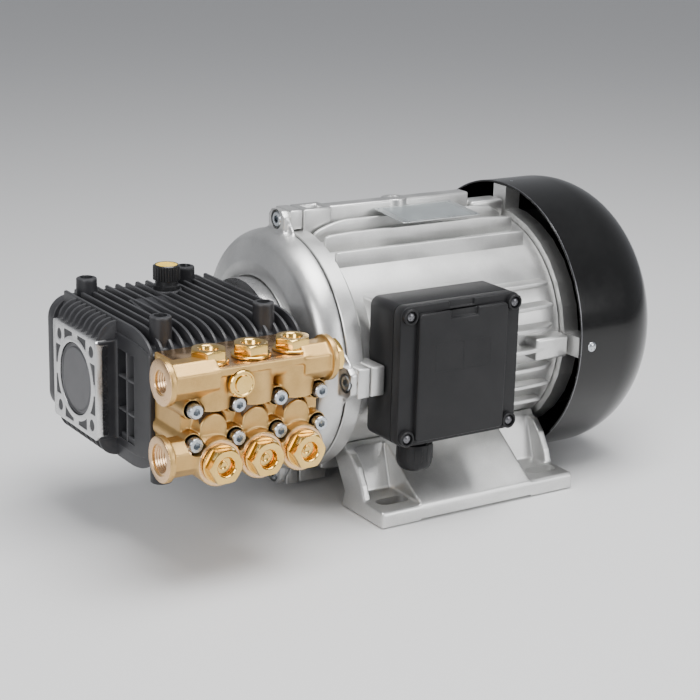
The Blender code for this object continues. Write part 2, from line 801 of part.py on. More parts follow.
def plunger(k):
    """A hollow crosshead with the ceramic plunger on its nose, where the crank holds it at rest."""
    x = plunger_x[k]
    rear = crosshead_rear + crank_throw * math.cos(crank_phase[k])
    nose = rear - crosshead_length
    body = rod((x, rear, axis_height), (x, nose, axis_height), crosshead_radius, sides=18)
    stem = rod((x, nose + overlap, axis_height), (x, nose - plunger_length, axis_height), plunger_radius,
               sides=18)
    join(body, stem)
    half_height = crank_throw + rod_small_end_radius + 0.0005
    half_width = rod_width / 2 + 0.001
    floor = rod_length + rod_small_end_radius + 2 * crank_throw + 0.0005
    pocket = block(
        (x - half_width, x + half_width),
        (crosshead_rear + crank_throw * math.cos(crank_phase[k]) + reach,
         crank_throw * math.cos(crank_phase[k]) - floor),
        (axis_height - half_height, axis_height + half_height),
    )
    cut(body, pocket)
    piece(f"plunger_{k + 1}", body, ceramic, (x, rear, axis_height))


def bearing(name, start, width, outer, inner, surface=steel):
    """A ball bearing as one ring, dished between its races on each face."""
    middle = (inner + outer) / 2
    groove = 0.0015
    ring = turned([
        (start, inner), (start + groove, middle), (start, outer),
        (start + width, outer), (start + width - groove, middle), (start + width, inner),
    ], sides=20)
    piece(name, ring, surface, (start + width / 2, 0.0, axis_height))


# ---- pump head -----------------------------------------------------------------------------------------
def port(face, y, z, flange_radius, neck_radius, inner_x):
    """A cast port that stands out of one end of the head."""
    sign = 1 if inner_x > face else -1
    flange = rod((face, y, z), (face + sign * port_flange_length, y, z), flange_radius, sides=16)
    neck = rod((face + sign * (port_flange_length - 0.001), y, z), (inner_x, y, z), neck_radius, sides=16)
    return [flange, neck]


def pump_head():
    """The brass manifold: three valve chambers, two galleries and the seats of its bolts."""
    depth_mid = head_back - 0.038
    base = block((head_left, head_right), (depth_mid, head_back),
                 (axis_height - head_bottom + 0.006, plate_top_z - overlap))
    plate = flat([
        [(head_left, head_back), (head_left, delivery_y + 0.010)]
        + arc((plunger_x[0], delivery_y), delivery_lobe_radius + 0.0022, 180, 270, 4)
        + arc((plunger_x[-1], delivery_y), delivery_lobe_radius + 0.0022, 270, 360, 4)
        + [(head_right, delivery_y + 0.010), (head_right, head_back)]
    ], "Z", plate_top_z - head_plate_thickness, plate_top_z)
    additions = [plate]
    for x in plunger_x:
        additions.append(rod((x, delivery_y, axis_height + 0.010), (x, delivery_y, plate_top_z - 0.001),
                             delivery_lobe_radius, sides=12))
        additions.append(rod((x, depth_mid + 0.004, axis_height - 0.004),
                             (x, head_front + 0.006, axis_height - 0.004),
                             delivery_lobe_radius - 0.001, sides=12, end_radius=0.010))
        additions.append(rod((x, head_back - 0.010, suction_z), (x, suction_face, suction_z),
                             suction_boss_radius, sides=14))
    seats = head_back - head_bolt_seat
    for x in bolt_x:
        for sign in (1, -1):
            z = axis_height + sign * head_bolt_rise
            additions.append(rod((x, head_back - overlap, z), (x, seats - 0.0006, z), 0.0072,
                                 sides=8, turn=0.1))
    additions += port(port_face, outlet_y, outlet_z, port_flange_radius, port_neck_radius, plunger_x[0])
    additions += port(port_face, inlet_y, inlet_z, port_flange_radius - 0.0005, port_neck_radius, plunger_x[0])
    additions += port(outlet_plug_face, outlet_y, outlet_z, port_flange_radius, port_neck_radius, plunger_x[-1])
    additions.append(rod((plunger_x[0], outlet_y, outlet_z), (plunger_x[-1], outlet_y, outlet_z),
                         outlet_sleeve_radius, sides=8))
    additions.append(rod((plunger_x[0], inlet_y, inlet_z), (plunger_x[-1], inlet_y, inlet_z),
                         inlet_sleeve_radius, sides=8))
    gauge_x = bolt_x[1]
    gauge_z = axis_height + gauge_plug_rise
    gauge_face = delivery_y - gauge_plug_seat
    additions.append(rod((gauge_x, depth_mid, gauge_z), (gauge_x, gauge_face - overlap, gauge_z),
                         gauge_plug_radius + 0.001, sides=14))
    join(base, *additions)
    tools = [rod((gauge_x, gauge_face, gauge_z), (gauge_x, gauge_face - 3 * reach, gauge_z),
                 gauge_plug_radius + gap, sides=18)]
    for x in plunger_x:
        tools.append(rod((x, delivery_y, plate_top_z), (x, delivery_y, plate_top_z + 2 * reach),
                         cap_flange_radius + 2 * gap, sides=12, turn=0.1))
        tools.append(rod((x, head_back + reach, axis_height), (x, head_back - plunger_bore_depth, axis_height),
                         plunger_radius + gap * 2, sides=14))
        tools.append(rod((x, head_back + reach, axis_height), (x, head_back - seal_length - gap, axis_height),
                         seal_radius + gap, sides=18))
        tools.append(rod((x, delivery_y, axis_height + plunger_radius - 0.003),
                         (x, delivery_y, delivery_seat_z + 0.001), valve_seat_radius, sides=8))
        tools.append(rod((x, delivery_y, delivery_seat_z), (x, delivery_y, plate_top_z + reach),
                         valve_bore_radius + gap, sides=12))
        tools.append(rod((x, inlet_y + 0.004, suction_z), (x, suction_seat_y + 0.001, suction_z),
                         valve_seat_radius, sides=8))
        tools.append(rod((x, suction_seat_y, suction_z), (x, suction_seat_y + 0.012, suction_z),
                         valve_bore_radius + gap, sides=12))
        tools.append(rod((x, suction_face - reach, suction_z), (x, inlet_y + inlet_bore_radius, suction_z),
                         valve_bore_radius + gap, sides=12))
        tools.append(rod((x, suction_seat_y + 0.006, suction_z),
                         (x, suction_seat_y + 0.006, axis_height - 0.004), valve_seat_radius, sides=8))
    tools.append(rod((port_face - reach, outlet_y, outlet_z), (outlet_plug_face + reach, outlet_y, outlet_z),
                     outlet_bore_radius, sides=8))
    tools.append(rod((port_face - reach, outlet_y, outlet_z),
                     (port_face + port_thread_depth, outlet_y, outlet_z), outlet_port_radius, sides=12))
    tools.append(rod((port_face - reach, inlet_y, inlet_z), (plunger_x[-1], inlet_y, inlet_z),
                     inlet_bore_radius, sides=8))
    tools.append(rod((port_face - reach, inlet_y, inlet_z), (port_face + port_thread_depth, inlet_y, inlet_z),
                     inlet_port_radius, sides=12))
    for x in bolt_x:
        for sign in (1, -1):
            z = axis_height + sign * head_bolt_rise
            tools.append(rod((x, head_back + reach, z), (x, seats - reach, z), head_bolt_radius + 2 * gap,
                             sides=8))
            tools.append(rod((x, seats, z), (x, seats - 0.012, z), head_bolt_head_radius + 0.0012, sides=8))
    cut(base, *tools)
    piece("pump_head", base, brass)


def valve_cap(name, seat, direction):
    """A hollow hexagon cap on a round flange, with its thread in the valve bore."""
    seat = Vector(seat)
    out = Vector(direction)
    flange = rod(seat + out * gap, seat + out * (gap + cap_flange_height), cap_flange_radius, sides=16)
    hexagon = rod(seat + out * (gap + cap_flange_height - 0.0005), seat + out * (gap + cap_rise),
                  cap_hex_radius, sides=6)
    thread = rod(seat - out * cap_thread_length, seat + out * (gap + 0.0005), valve_bore_radius, sides=12)
    join(flange, hexagon, thread)
    recess = rod(seat + out * (gap + cap_rise - cap_recess_depth), seat + out * (gap + cap_rise + reach),
                 cap_recess_radius, sides=12)
    cut(flange, recess)
    piece(name, flange, brass_bright, seat)


def poppet(name, seat, direction):
    """A valve disc resting on its seat, with a guide stem behind it."""
    seat = Vector(seat)
    out = Vector(direction)
    start = seat + out * gap
    disc = rod(start, start + out * valve_disc_thickness, valve_disc_radius, sides=12)
    stem = rod(start + out * (valve_disc_thickness - 0.0005),
               start + out * (valve_disc_thickness + valve_stem_length), valve_stem_radius, sides=6)
    join(disc, stem)
    piece(name, disc, steel, start)


def head_bolt(number, x, z):
    """A hexagon-socket cap screw that clamps the head to the crankcase."""
    seat = head_back - head_bolt_seat - gap
    tip = crankcase_front + head_bolt_grip
    shank = rod((x, tip, z), (x, seat - 0.001, z), head_bolt_radius, sides=6)
    head = rod((x, seat, z), (x, seat - head_bolt_head_length, z), head_bolt_head_radius, sides=10)
    join(shank, head)
    socket = rod((x, seat - head_bolt_head_length - reach, z), (x, seat - head_bolt_head_length + 0.003, z),
                 0.0029, sides=6)
    cut(shank, socket)
    piece(f"head_bolt_{number}", shank, zinc, (x, seat, z))


def outlet_plug():
    face = outlet_plug_face + gap
    hexagon = rod((face, outlet_y, outlet_z), (face + plug_hex_length, outlet_y, outlet_z), plug_hex_radius,
                  sides=6)
    thread = rod((face - 0.010, outlet_y, outlet_z), (face + 0.001, outlet_y, outlet_z),
                 outlet_bore_radius - gap, sides=8)
    join(hexagon, thread)
    piece("outlet_plug", hexagon, brass_bright, (face, outlet_y, outlet_z))


def gauge_plug():
    """The round plug of the pressure-gauge port, with a crescent scoop in its face."""
    x = bolt_x[1]
    z = axis_height + gauge_plug_rise
    start = delivery_y - gauge_plug_seat - gap
    end = start - gauge_plug_length
    plug = rod((x, start, z), (x, end, z), gauge_plug_radius, sides=18)
    scoop = rod((x - 0.002, end - reach, z), (x - 0.002, end + 0.0015, z), gauge_plug_radius - 0.003, sides=12)
    land = rod((x + 0.002, end - 2 * reach, z), (x + 0.002, end + 0.003, z), gauge_plug_radius - 0.003,
               sides=12)
    cut(scoop, land)
    cut(plug, scoop)
    piece("gauge_plug", plug, brass_bright, (x, start, z))


# ---- motor ---------------------------------------------------------------------------------------------
def quarter_places():
    """Unit directions across the shaft: up, front, down and rear."""
    return [(0.0, 1.0), (-1.0, 0.0), (0.0, -1.0), (1.0, 0.0)]


def ear(direction, x_span, inner, outer, half_width):
    """A block that stands out from the shaft axis."""
    y, z = direction
    spans = []
    for value in (y, z):
        if value:
            spans.append(sorted((value * inner, value * outer)))
        else:
            spans.append((-half_width, half_width))
    return block(x_span, spans[0], [axis_height + v for v in spans[1]])


def arm(turn, inner, outer, half_width, low, high):
    """A bar that runs outwards from near the shaft axis at an angle, as a spoke does."""
    corners = [(inner, -half_width), (outer, -half_width), (outer, half_width), (inner, half_width)]
    points = [(r * math.cos(turn) - a * math.sin(turn), axis_height + r * math.sin(turn) + a * math.cos(turn))
              for r, a in corners]
    return flat([points], "X", low, high)


def motor_bell():
    wall = bell_wall
    rim = housing_joint_radius
    hub_front = recess_floor + wall
    hub_rear = hub_front + motor_bearing_width + 0.003
    shell = turned([
        (0.0, rim), (-0.003, rim), (-0.012, rim - 0.003), (-0.0195, rim - 0.0101),
        (-bell_depth + 0.0009, rim - 0.0235), (-bell_depth, rim - 0.0321),
        (-bell_depth, spigot_radius + 2 * gap), (recess_floor, spigot_radius + 2 * gap),
        (recess_floor, hub_radius + 0.002), (hub_front, hub_radius + 0.002),
        (hub_front, motor_bearing_radius + gap), (hub_rear, motor_bearing_radius + gap),
        (hub_rear, motor_bearing_radius + wall), (hub_front + 0.002, motor_bearing_radius + wall + 0.002),
        (-0.012, rim - 0.026), (-0.006, rim - 0.012), (0.0, rim - 0.008),
    ], sides=30)
    ears = []
    holes = []
    for direction in quarter_places():
        ears.append(ear(direction, (bell_ear_front, -gap), rim - 0.008, ear_reach, ear_half_width))
        ears.append(ear(direction, (-overlap, bell_ear_back), rim + gap, ear_reach, ear_half_width))
        y = direction[0] * ear_screw_offset
        z = axis_height + direction[1] * ear_screw_offset
        holes.append(rod((bell_ear_front - reach, y, z), (bell_screw_seat, y, z), ear_recess_radius, sides=12))
        holes.append(rod((bell_screw_seat - overlap, y, z), (bell_ear_back + reach, y, z),
                         ear_screw_radius + gap, sides=8))
    join(shell, *ears)
    cut(shell, *holes)
    piece("motor_bell", shell, cast_aluminium)


def fin_outline(bore):
    """The housing's section: a ring with upright fins above and below and level fins on both sides."""
    count_half = 3
    offsets = [motor_fin_pitch * k for k in range(-count_half, count_half + 1)]
    half = motor_fin_thickness / 2
    outline = []
    for quarter in range(4):
        for offset in offsets:
            low_side = quarter == 2 and abs(offset) > motor_fin_pitch * 2.5
            if low_side:
                continue
            corner = []
            tip = motor_fin_rise - motor_fin_curve * offset ** 2
            for edge in (offset - half, offset + half):
                root = math.sqrt(housing_wall_radius ** 2 - edge ** 2)
                corner += [(edge, root), (edge, tip)]
            corner[2:] = corner[:1:-1]
            turn = -quarter * math.pi / 2
            for across, up in corner:
                outline.append((across * math.cos(turn) - up * math.sin(turn),
                                axis_height + across * math.sin(turn) + up * math.cos(turn)))
    hole = [(y, z) for y, z in arc((0.0, axis_height), bore, 0, 360, 32)[:-1]]
    return [outline, hole]


def motor_housing():
    body = flat(fin_outline(housing_bore_radius - overlap), "X", gap + overlap, housing_length)
    envelope = turned([
        (0.0, 0.0), (0.0, housing_joint_radius), (motor_fin_start, housing_joint_radius),
        (motor_fin_full, fin_envelope_radius), (motor_fin_end - 0.012, fin_envelope_radius),
        (motor_fin_end, housing_joint_radius), (housing_length + reach, housing_joint_radius),
        (housing_length + reach, 0.0),
    ], sides=24)
    common(body, envelope)
    box_room = block((box_left - box_clearance, box_right + box_clearance),
                     (-fin_envelope_radius - reach, box_back + 2 * gap),
                     (box_bottom - box_clearance, box_top + box_clearance))
    cut(body, box_room)
    ring = turned([
        (gap, housing_bore_radius + overlap), (gap, housing_joint_radius),
        (joint_ring_length, housing_joint_radius), (joint_ring_length + 0.005, housing_wall_radius),
        (joint_ring_length + 0.005, housing_bore_radius + overlap),
    ], sides=32)
    lug_start = bell_ear_back + gap
    ears = []
    for d in quarter_places():
        length = front_lug_length if d[0] < 0 else lug_length
        ears.append(ear(d, (lug_start, lug_start + length), housing_wall_radius - 0.003, ear_reach,
                        ear_half_width))
    rear_ears = [ear(d, (housing_length - 0.034, housing_length - overlap), housing_wall_radius - 0.003,
                     housing_joint_radius + 0.007, 0.009) for d in quarter_places()]
    rail = ear(quarter_places()[0], (lug_start + overlap, rail_end), housing_wall_radius - 0.003,
               ear_reach, rail_half_width)
    pad = block((box_left + pad_inset, box_right - pad_inset), (box_back + gap, -housing_bore_radius * 0.6),
                (box_bottom + pad_inset, box_top - pad_inset))
    join(body, ring, rail, pad, *ears, *rear_ears)
    bore = rod((-reach, 0.0, axis_height), (housing_length + reach, 0.0, axis_height), housing_bore_radius,
               sides=32)
    wires = rod((box_middle_x, -housing_bore_radius + 0.02, box_middle_z),
                (box_middle_x, box_back - reach, box_middle_z), wire_hole_radius, sides=12, turn=0.1)
    cut(body, bore, wires)
    piece("motor_housing", body, cast_aluminium)


def stator():
    outer = arc((0.0, axis_height), housing_bore_radius - 3 * gap, 0, 360, 32)[:-1]
    teeth = []
    pitch = 360 / slot_count
    half_slot = math.degrees(math.asin(slot_width / 2 / stator_bore_radius))
    for k in range(slot_count):
        middle = pitch * k
        start = middle - pitch + half_slot
        teeth += arc((0.0, axis_height), stator_bore_radius, start, middle - half_slot, 3)
        for across in (-slot_width / 2, slot_width / 2):
            along = stator_bore_radius + slot_depth
            turn = math.radians(middle)
            teeth.append((along * math.cos(turn) - across * math.sin(turn),
                          axis_height + along * math.sin(turn) + across * math.cos(turn)))
    core = flat([outer, teeth], "X", stator_start, stator_start + stator_length)
    piece("stator_core", core, electrical_steel)
    inner = stator_bore_radius + 0.0015
    outside = stator_bore_radius + slot_depth - gap * 2
    end = stator_start + stator_length
    spans = (
        (stator_start - winding_overhang, stator_start - gap * 2),
        (end + gap * 2, end + winding_overhang),
    )
    rings = [turned([(low, inner), (low, outside), (high, outside), (high, inner)], sides=24)
             for low, high in spans]
    bars = []
    for k in range(slot_count):
        turn = math.radians(pitch * k)
        across = slot_width / 2 - gap * 2
        bars.append(arm(turn, inner + 0.0008, outside - 0.0008, across, stator_start - overlap, end + overlap))
    winding = rings[0]
    join(winding, rings[1], *bars)
    piece("stator_winding", winding, copper)


def rotor():
    end = stator_start + stator_length
    core = turned([
        (stator_start - 0.004, shaft_core_radius + gap), (stator_start - 0.004, rotor_radius),
        (end + 0.004, rotor_radius), (end + 0.004, shaft_core_radius + gap),
    ], sides=24)
    piece("rotor_core", core, electrical_steel, ((stator_start + end) / 2, 0.0, axis_height), rotor_axis)
    front_seat = front_bearing_start
    core_start = front_seat + motor_bearing_width + gap
    tail = rear_bearing_start + motor_bearing_width + 0.002
    shaft_tip = fan_start + fan_width + 0.003
    shaft = turned([
        (shaft_end, 0.0), (shaft_end, shaft_end_radius), (front_seat - 0.001, shaft_end_radius),
        (front_seat - 0.001, shaft_bearing_radius), (core_start, shaft_bearing_radius),
        (core_start, shaft_core_radius), (rear_bearing_start - gap, shaft_core_radius),
        (rear_bearing_start - gap, shaft_bearing_radius), (tail, shaft_bearing_radius),
        (tail, shaft_tail_radius), (shaft_tip, shaft_tail_radius), (shaft_tip, 0.0),
    ], sides=20)
    piece("motor_shaft", shaft, steel, ((stator_start + end) / 2, 0.0, axis_height), rotor_axis)


def rear_end_shield():
    start = housing_length + gap
    seat = rear_bearing_start - gap
    bore = motor_bearing_radius + gap
    floor = rear_bearing_start + motor_bearing_width + gap
    back = floor + 0.004
    shield = turned([
        (floor, bore), (seat, bore), (seat, bore + 0.006), (start, bore + 0.008), (start, shield_radius),
        (start + shield_length, shield_radius), (start + shield_length, shield_radius - 0.006),
        (start + 0.006, shield_radius - 0.010), (start + 0.006, bore + 0.012), (back, bore + 0.004),
        (back, shaft_bearing_radius + 0.002), (floor, shaft_bearing_radius + 0.002),
    ], sides=30)
    lug_reach = cowl_radius - cowl_wall - 4 * gap
    lugs = [ear(d, (start, start + shield_length), shield_radius - 0.005, lug_reach, 0.008)
            for d in quarter_places()]
    join(shield, *lugs)
    piece("rear_end_shield", shield, cast_aluminium)


def fan():
    end = fan_start + fan_width
    hub = turned([
        (fan_start, shaft_tail_radius + gap), (fan_start, fan_hub_radius),
        (end - fan_disc_thickness, fan_hub_radius), (end - fan_disc_thickness, fan_disc_radius),
        (end, fan_disc_radius), (end, shaft_tail_radius + gap),
    ], sides=24)
    blades = []
    for k in range(fan_blade_count):
        turn = 2 * math.pi * k / fan_blade_count
        blades.append(arm(turn, fan_hub_radius - 0.002, fan_radius, fan_blade_thickness / 2,
                          fan_start + 0.002, end - 0.001))
    join(hub, *blades)
    piece("fan", hub, black_plastic, ((fan_start + end) / 2, 0.0, axis_height), rotor_axis)


def cowl_profile(inset):
    """The outer curve of the cowl from its rim to the grille, moved in by an inset."""
    steps = 4
    end = cowl_end - inset
    shoulder = cowl_end - cowl_dome
    curve = [(cowl_start, cowl_radius - inset), (shoulder, cowl_radius - inset)]
    for k in range(1, steps + 1):
        t = math.pi / 2 * k / steps
        curve.append((shoulder + (end - shoulder) * math.sin(t),
                      cowl_grille_radius + (cowl_radius - inset - cowl_grille_radius) * math.cos(t)))
    return curve


def fan_cowl():
    inside = [(cowl_end - cowl_wall, 0.0)] + cowl_profile(cowl_wall)[::-1]
    outside = cowl_profile(0.0) + [(cowl_end, 0.0)]
    shell = turned(inside + outside, sides=32)
    slots = []
    for k in range(cowl_slot_count):
        turn = 2 * math.pi * k / cowl_slot_count
        slots.append(arm(turn, cowl_slot_inner, cowl_slot_outer, cowl_slot_half_width,
                         cowl_end - cowl_wall - reach, cowl_end + reach))
    cut(shell, *slots)
    piece("fan_cowl", shell, black_paint)


# ---- feet ----------------------------------------------------------------------------------------------
def foot(name, side):
    """One foot casting: a pad, a leg that meets the housing, a sloping plate and two ribs."""
    saddle = housing_wall_radius + gap
    leg_outer = foot_leg_top
    leg_inner = foot_leg_top - foot_leg_thickness - 0.006
    arc_points = [(y, axis_height - math.sqrt(saddle ** 2 - y ** 2))
                  for y in (leg_outer - 0.003, leg_outer - 0.009, leg_inner)]
    section = [
        (foot_half_width, 0.0), (foot_half_width, foot_pad_thickness), (foot_pad_inner, foot_pad_thickness),
        (leg_outer, foot_plate_top),
    ] + arc_points + [
        (foot_pad_inner - foot_leg_thickness, foot_pad_thickness),
        (foot_pad_inner - foot_leg_thickness - 0.004, 0.0),
    ]
    body = flat([[(side * y, z) for y, z in section]], "X", foot_start, foot_end)
    slope = [
        (foot_half_width, foot_mid_relief + 0.001), (foot_half_width, foot_pad_thickness),
        (foot_leg_top + 0.004, foot_plate_top), (foot_leg_top - 0.001, foot_plate_top),
        (foot_leg_top + 0.002, foot_pad_thickness),
    ]
    wedge = flat([[(side * y, z) for y, z in slope]], "X", foot_rib_left, foot_rib_right)
    join(body, wedge)
    relief = block((foot_rib_left, foot_rib_right), sorted((side * 0.050, side * (foot_half_width + reach))),
                   (-reach, foot_mid_relief))
    hollow_outer = foot_half_width - foot_hollow_inset
    hollow_inner = foot_leg_top + foot_hollow_inset
    hollow_section = [(hollow_outer, -reach), (hollow_outer, 0.0070), (hollow_inner, 0.0330),
                      (hollow_inner, -reach)]
    hollow = flat([[(side * y, z) for y, z in hollow_section]], "X",
                  foot_rib_left + foot_rib_thickness, foot_rib_right - foot_rib_thickness)
    slots = []
    for x in foot_slot_x:
        half = foot_slot_length / 2 - foot_slot_half_width
        outline = (arc((x + half, side * foot_slot_y), foot_slot_half_width, -90, 90, 6)
                   + arc((x - half, side * foot_slot_y), foot_slot_half_width, 90, 270, 6))
        slots.append(flat([outline], "Z", -reach, foot_pad_thickness + reach))
    cut(body, relief, hollow, *slots)
    piece(name, body, cast_aluminium)


# ---- terminal box --------------------------------------------------------------------------------------
def terminal_box():
    low = (box_left, box_bottom)
    high = (box_right, box_top)
    base = flat([rounded(low, high, box_corner)], "Y", box_joint + gap, box_back)
    inner_low = (box_left + box_wall, box_bottom + box_wall)
    inner_high = (box_right - box_wall, box_top - box_wall)
    inner = [rounded(inner_low, inner_high, box_corner - box_wall)]
    room = flat(inner, "Y", box_joint - reach, box_back - box_wall)
    wires = rod((box_middle_x, box_back - box_wall - reach, box_middle_z),
                (box_middle_x, box_back + reach, box_middle_z), wire_hole_radius, sides=16)
    entry = rod((gland_x, gland_y, box_bottom - reach), (gland_x, gland_y, box_bottom + box_wall + reach),
                gland_radius - 0.0015 + gap, sides=20)
    cut(base, room, wires, entry)
    piece("terminal_box_base", base, black_plastic)
    lid_face = box_front + box_crown_rise
    lid = flat([rounded(low, high, box_corner)], "Y", lid_face, box_joint)
    crown_low = (box_left + box_crown_inset, box_bottom + box_crown_inset)
    crown_high = (box_right - box_crown_inset, box_top - 0.004)
    crown = flat([rounded(crown_low, crown_high, 0.003)], "Y", box_front, box_joint)
    join(lid, crown)
    hollow = flat(inner, "Y", lid_face + box_wall, box_joint + reach)
    cut(lid, hollow)
    piece("terminal_box_lid", lid, black_plastic)
    width, depth, height = board_size
    back = box_back - box_wall - gap
    board = block((box_middle_x - width / 2, box_middle_x + width / 2), (back - depth, back),
                  (box_middle_z + board_rise, box_middle_z + board_rise + height))
    studs = []
    for k in (-1, 0, 1):
        for share in (0.25, 0.75):
            x = box_middle_x + stud_pitch * k
            z = box_middle_z + board_rise + height * share
            studs.append(rod((x, back - depth + overlap, z), (x, back - depth - stud_length, z), 0.002,
                             sides=8))
    join(board, *studs)
    piece("terminal_board", board, yellow_plastic)


def cable_gland():
    top = box_bottom + box_wall + gland_thread_in_box
    seat = box_bottom - gap
    low = seat - gland_body_length
    body = rod((gland_x, gland_y, low), (gland_x, gland_y, seat), gland_radius, sides=14)
    thread = rod((gland_x, gland_y, seat - overlap), (gland_x, gland_y, top), gland_radius - 0.0015, sides=14)
    collar = rod((gland_x, gland_y, seat - 0.003), (gland_x, gland_y, seat), gland_nut_radius - 0.001,
                 sides=6)
    join(body, thread, collar)
    hole = rod((gland_x, gland_y, low - reach), (gland_x, gland_y, top + reach), gland_hole_radius, sides=14)
    cut(body, hole)
    piece("cable_gland_body", body, black_plastic)
    nut_top = seat - 0.006
    nut_low = nut_top - gland_nut_length
    nut = rod((gland_x, gland_y, nut_low), (gland_x, gland_y, nut_top), gland_nut_radius, sides=12)
    inside = rod((gland_x, gland_y, low - gap), (gland_x, gland_y, nut_top + reach), gland_radius + gap,
                 sides=14)
    mouth = rod((gland_x, gland_y, nut_low - reach), (gland_x, gland_y, low), gland_hole_radius, sides=14)
    cut(nut, inside, mouth)
    piece("cable_gland_nut", nut, black_plastic)


def nameplate():
    spans = [(-size / 2, size / 2) for size in plate_size]
    plate = block(*spans)
    plate.data.transform(Matrix.Translation(plate_centre) @ Matrix.Rotation(plate_tilt, 4, "X"))
    piece("nameplate", plate, grey_plate, plate_centre)


# ---- build ---------------------------------------------------------------------------------------------
crankcase()
crankcase_rear_cover()
oil_filler()
shaft_end_cap()
crankshaft()
for k in range(plunger_count):
    connecting_rod(k)
    plunger(k)
    seal = turned([(0.0, plunger_radius + gap), (0.0, seal_radius), (seal_length - gap, seal_radius),
                   (seal_length - gap, plunger_radius + gap)], sides=24, centre=(0.0, 0.0, 0.0))
    seal.data.transform(Matrix.Translation((plunger_x[k], head_back - gap, axis_height))
                        @ Matrix.Rotation(-math.pi / 2, 4, "Z"))
    piece(f"plunger_seal_{k + 1}", seal, black_rubber)
    valve_cap(f"delivery_valve_cap_{k + 1}", (plunger_x[k], delivery_y, plate_top_z), (0.0, 0.0, 1.0))
    valve_cap(f"suction_valve_cap_{k + 1}", (plunger_x[k], suction_face, suction_z), (0.0, -1.0, 0.0))
    poppet(f"delivery_valve_{k + 1}", (plunger_x[k], delivery_y, delivery_seat_z), (0.0, 0.0, 1.0))
    poppet(f"suction_valve_{k + 1}", (plunger_x[k], suction_seat_y, suction_z), (0.0, 1.0, 0.0))
bearing("crank_bearing_end", body_left - 0.0095 + gap, end_journal_bearing_width - 2 * gap,
        end_journal_bearing_radius, end_journal_radius + gap)
bearing("crank_bearing_main", main_bearing_left, main_bearing_width, main_bearing_radius, hub_radius + gap)
pump_head()
bolt_number = 0
for z in (axis_height + head_bolt_rise, axis_height - head_bolt_rise):
    for x in bolt_x:
        bolt_number += 1
        head_bolt(bolt_number, x, z)
outlet_plug()
gauge_plug()
motor_bell()
motor_housing()
stator()
rotor()
bearing("motor_bearing_front", front_bearing_start, motor_bearing_width, motor_bearing_radius,
        shaft_bearing_radius + gap)
bearing("motor_bearing_rear", rear_bearing_start, motor_bearing_width, motor_bearing_radius,
        shaft_bearing_radius + gap)
rear_end_shield()
fan()
fan_cowl()
foot("front_foot", -1)
foot("rear_foot", 1)
terminal_box()
cable_gland()
nameplate()
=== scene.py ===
import json
import math

import bmesh
import bpy
from mathutils import Matrix, Vector

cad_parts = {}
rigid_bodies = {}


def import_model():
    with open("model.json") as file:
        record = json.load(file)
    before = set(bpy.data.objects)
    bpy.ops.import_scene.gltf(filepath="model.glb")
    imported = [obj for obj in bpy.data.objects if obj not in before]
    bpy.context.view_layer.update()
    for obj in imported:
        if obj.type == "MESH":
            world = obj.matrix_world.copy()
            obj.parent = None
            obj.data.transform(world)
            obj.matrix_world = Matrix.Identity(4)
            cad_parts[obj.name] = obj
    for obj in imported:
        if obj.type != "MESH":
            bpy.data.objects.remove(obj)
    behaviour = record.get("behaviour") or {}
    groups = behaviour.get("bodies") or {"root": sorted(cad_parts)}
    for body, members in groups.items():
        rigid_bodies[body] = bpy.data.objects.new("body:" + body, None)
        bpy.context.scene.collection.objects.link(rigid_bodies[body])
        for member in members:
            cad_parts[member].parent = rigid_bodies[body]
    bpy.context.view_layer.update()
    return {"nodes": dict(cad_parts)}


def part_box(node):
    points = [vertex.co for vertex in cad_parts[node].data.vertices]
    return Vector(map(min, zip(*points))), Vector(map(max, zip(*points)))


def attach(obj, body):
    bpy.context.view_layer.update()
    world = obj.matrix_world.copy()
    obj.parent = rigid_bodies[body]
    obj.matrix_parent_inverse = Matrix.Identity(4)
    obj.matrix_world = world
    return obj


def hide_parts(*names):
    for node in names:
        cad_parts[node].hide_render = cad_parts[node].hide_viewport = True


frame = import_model()

# ---- places taken from the frame --------------------
# Everything below is built with x = 0 at the bell's joint, y = 0 on the shaft and z = 0 at the foot
# faces, then moved by "shift" to where the frame has the machine.
gap = 0.0003
housing_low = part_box("motor_housing")[0]
shaft_low, shaft_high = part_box("motor_shaft")
shift = Vector((housing_low.x - gap, (shaft_low.y + shaft_high.y) / 2, 0.0))
axis_height = (shaft_low.z + shaft_high.z) / 2


def limits(*nodes):
    """Lowest and highest corners of some nodes, in the building frame."""
    corners = [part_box(node) for node in nodes]
    low = Vector([min(c[0][k] for c in corners) for k in range(3)]) - shift
    high = Vector([max(c[1][k] for c in corners) for k in range(3)]) - shift
    return low, high


def middle_of(node):
    """The middle of a node's box, in the building frame."""
    low, high = limits(node)
    return [(low[k] + high[k]) / 2 for k in range(3)]


# ---- shape helpers --------------------
bench = bpy.data.collections.new("bench")
bpy.context.scene.collection.children.link(bench)
shown = bpy.data.collections.new("looks")
bpy.context.scene.collection.children.link(shown)


def from_cage(cage):
    """A closed object facing out, from a bmesh."""
    bmesh.ops.remove_doubles(cage, verts=cage.verts, dist=0.000001)
    bmesh.ops.recalc_face_normals(cage, faces=cage.faces)
    if cage.calc_volume(signed=True) < 0:
        bmesh.ops.reverse_faces(cage, faces=cage.faces)
    mesh = bpy.data.meshes.new("shape")
    cage.to_mesh(mesh)
    cage.free()
    shape = bpy.data.objects.new("shape", mesh)
    bench.objects.link(shape)
    return shape


def block(low, high):
    """A box between two corners."""
    low, high = Vector(low), Vector(high)
    cage = bmesh.new()
    size = high - low
    place = Matrix.Translation((low + high) / 2) @ Matrix.Diagonal((*size, 1.0))
    bmesh.ops.create_cube(cage, size=1.0, matrix=place)
    return from_cage(cage)


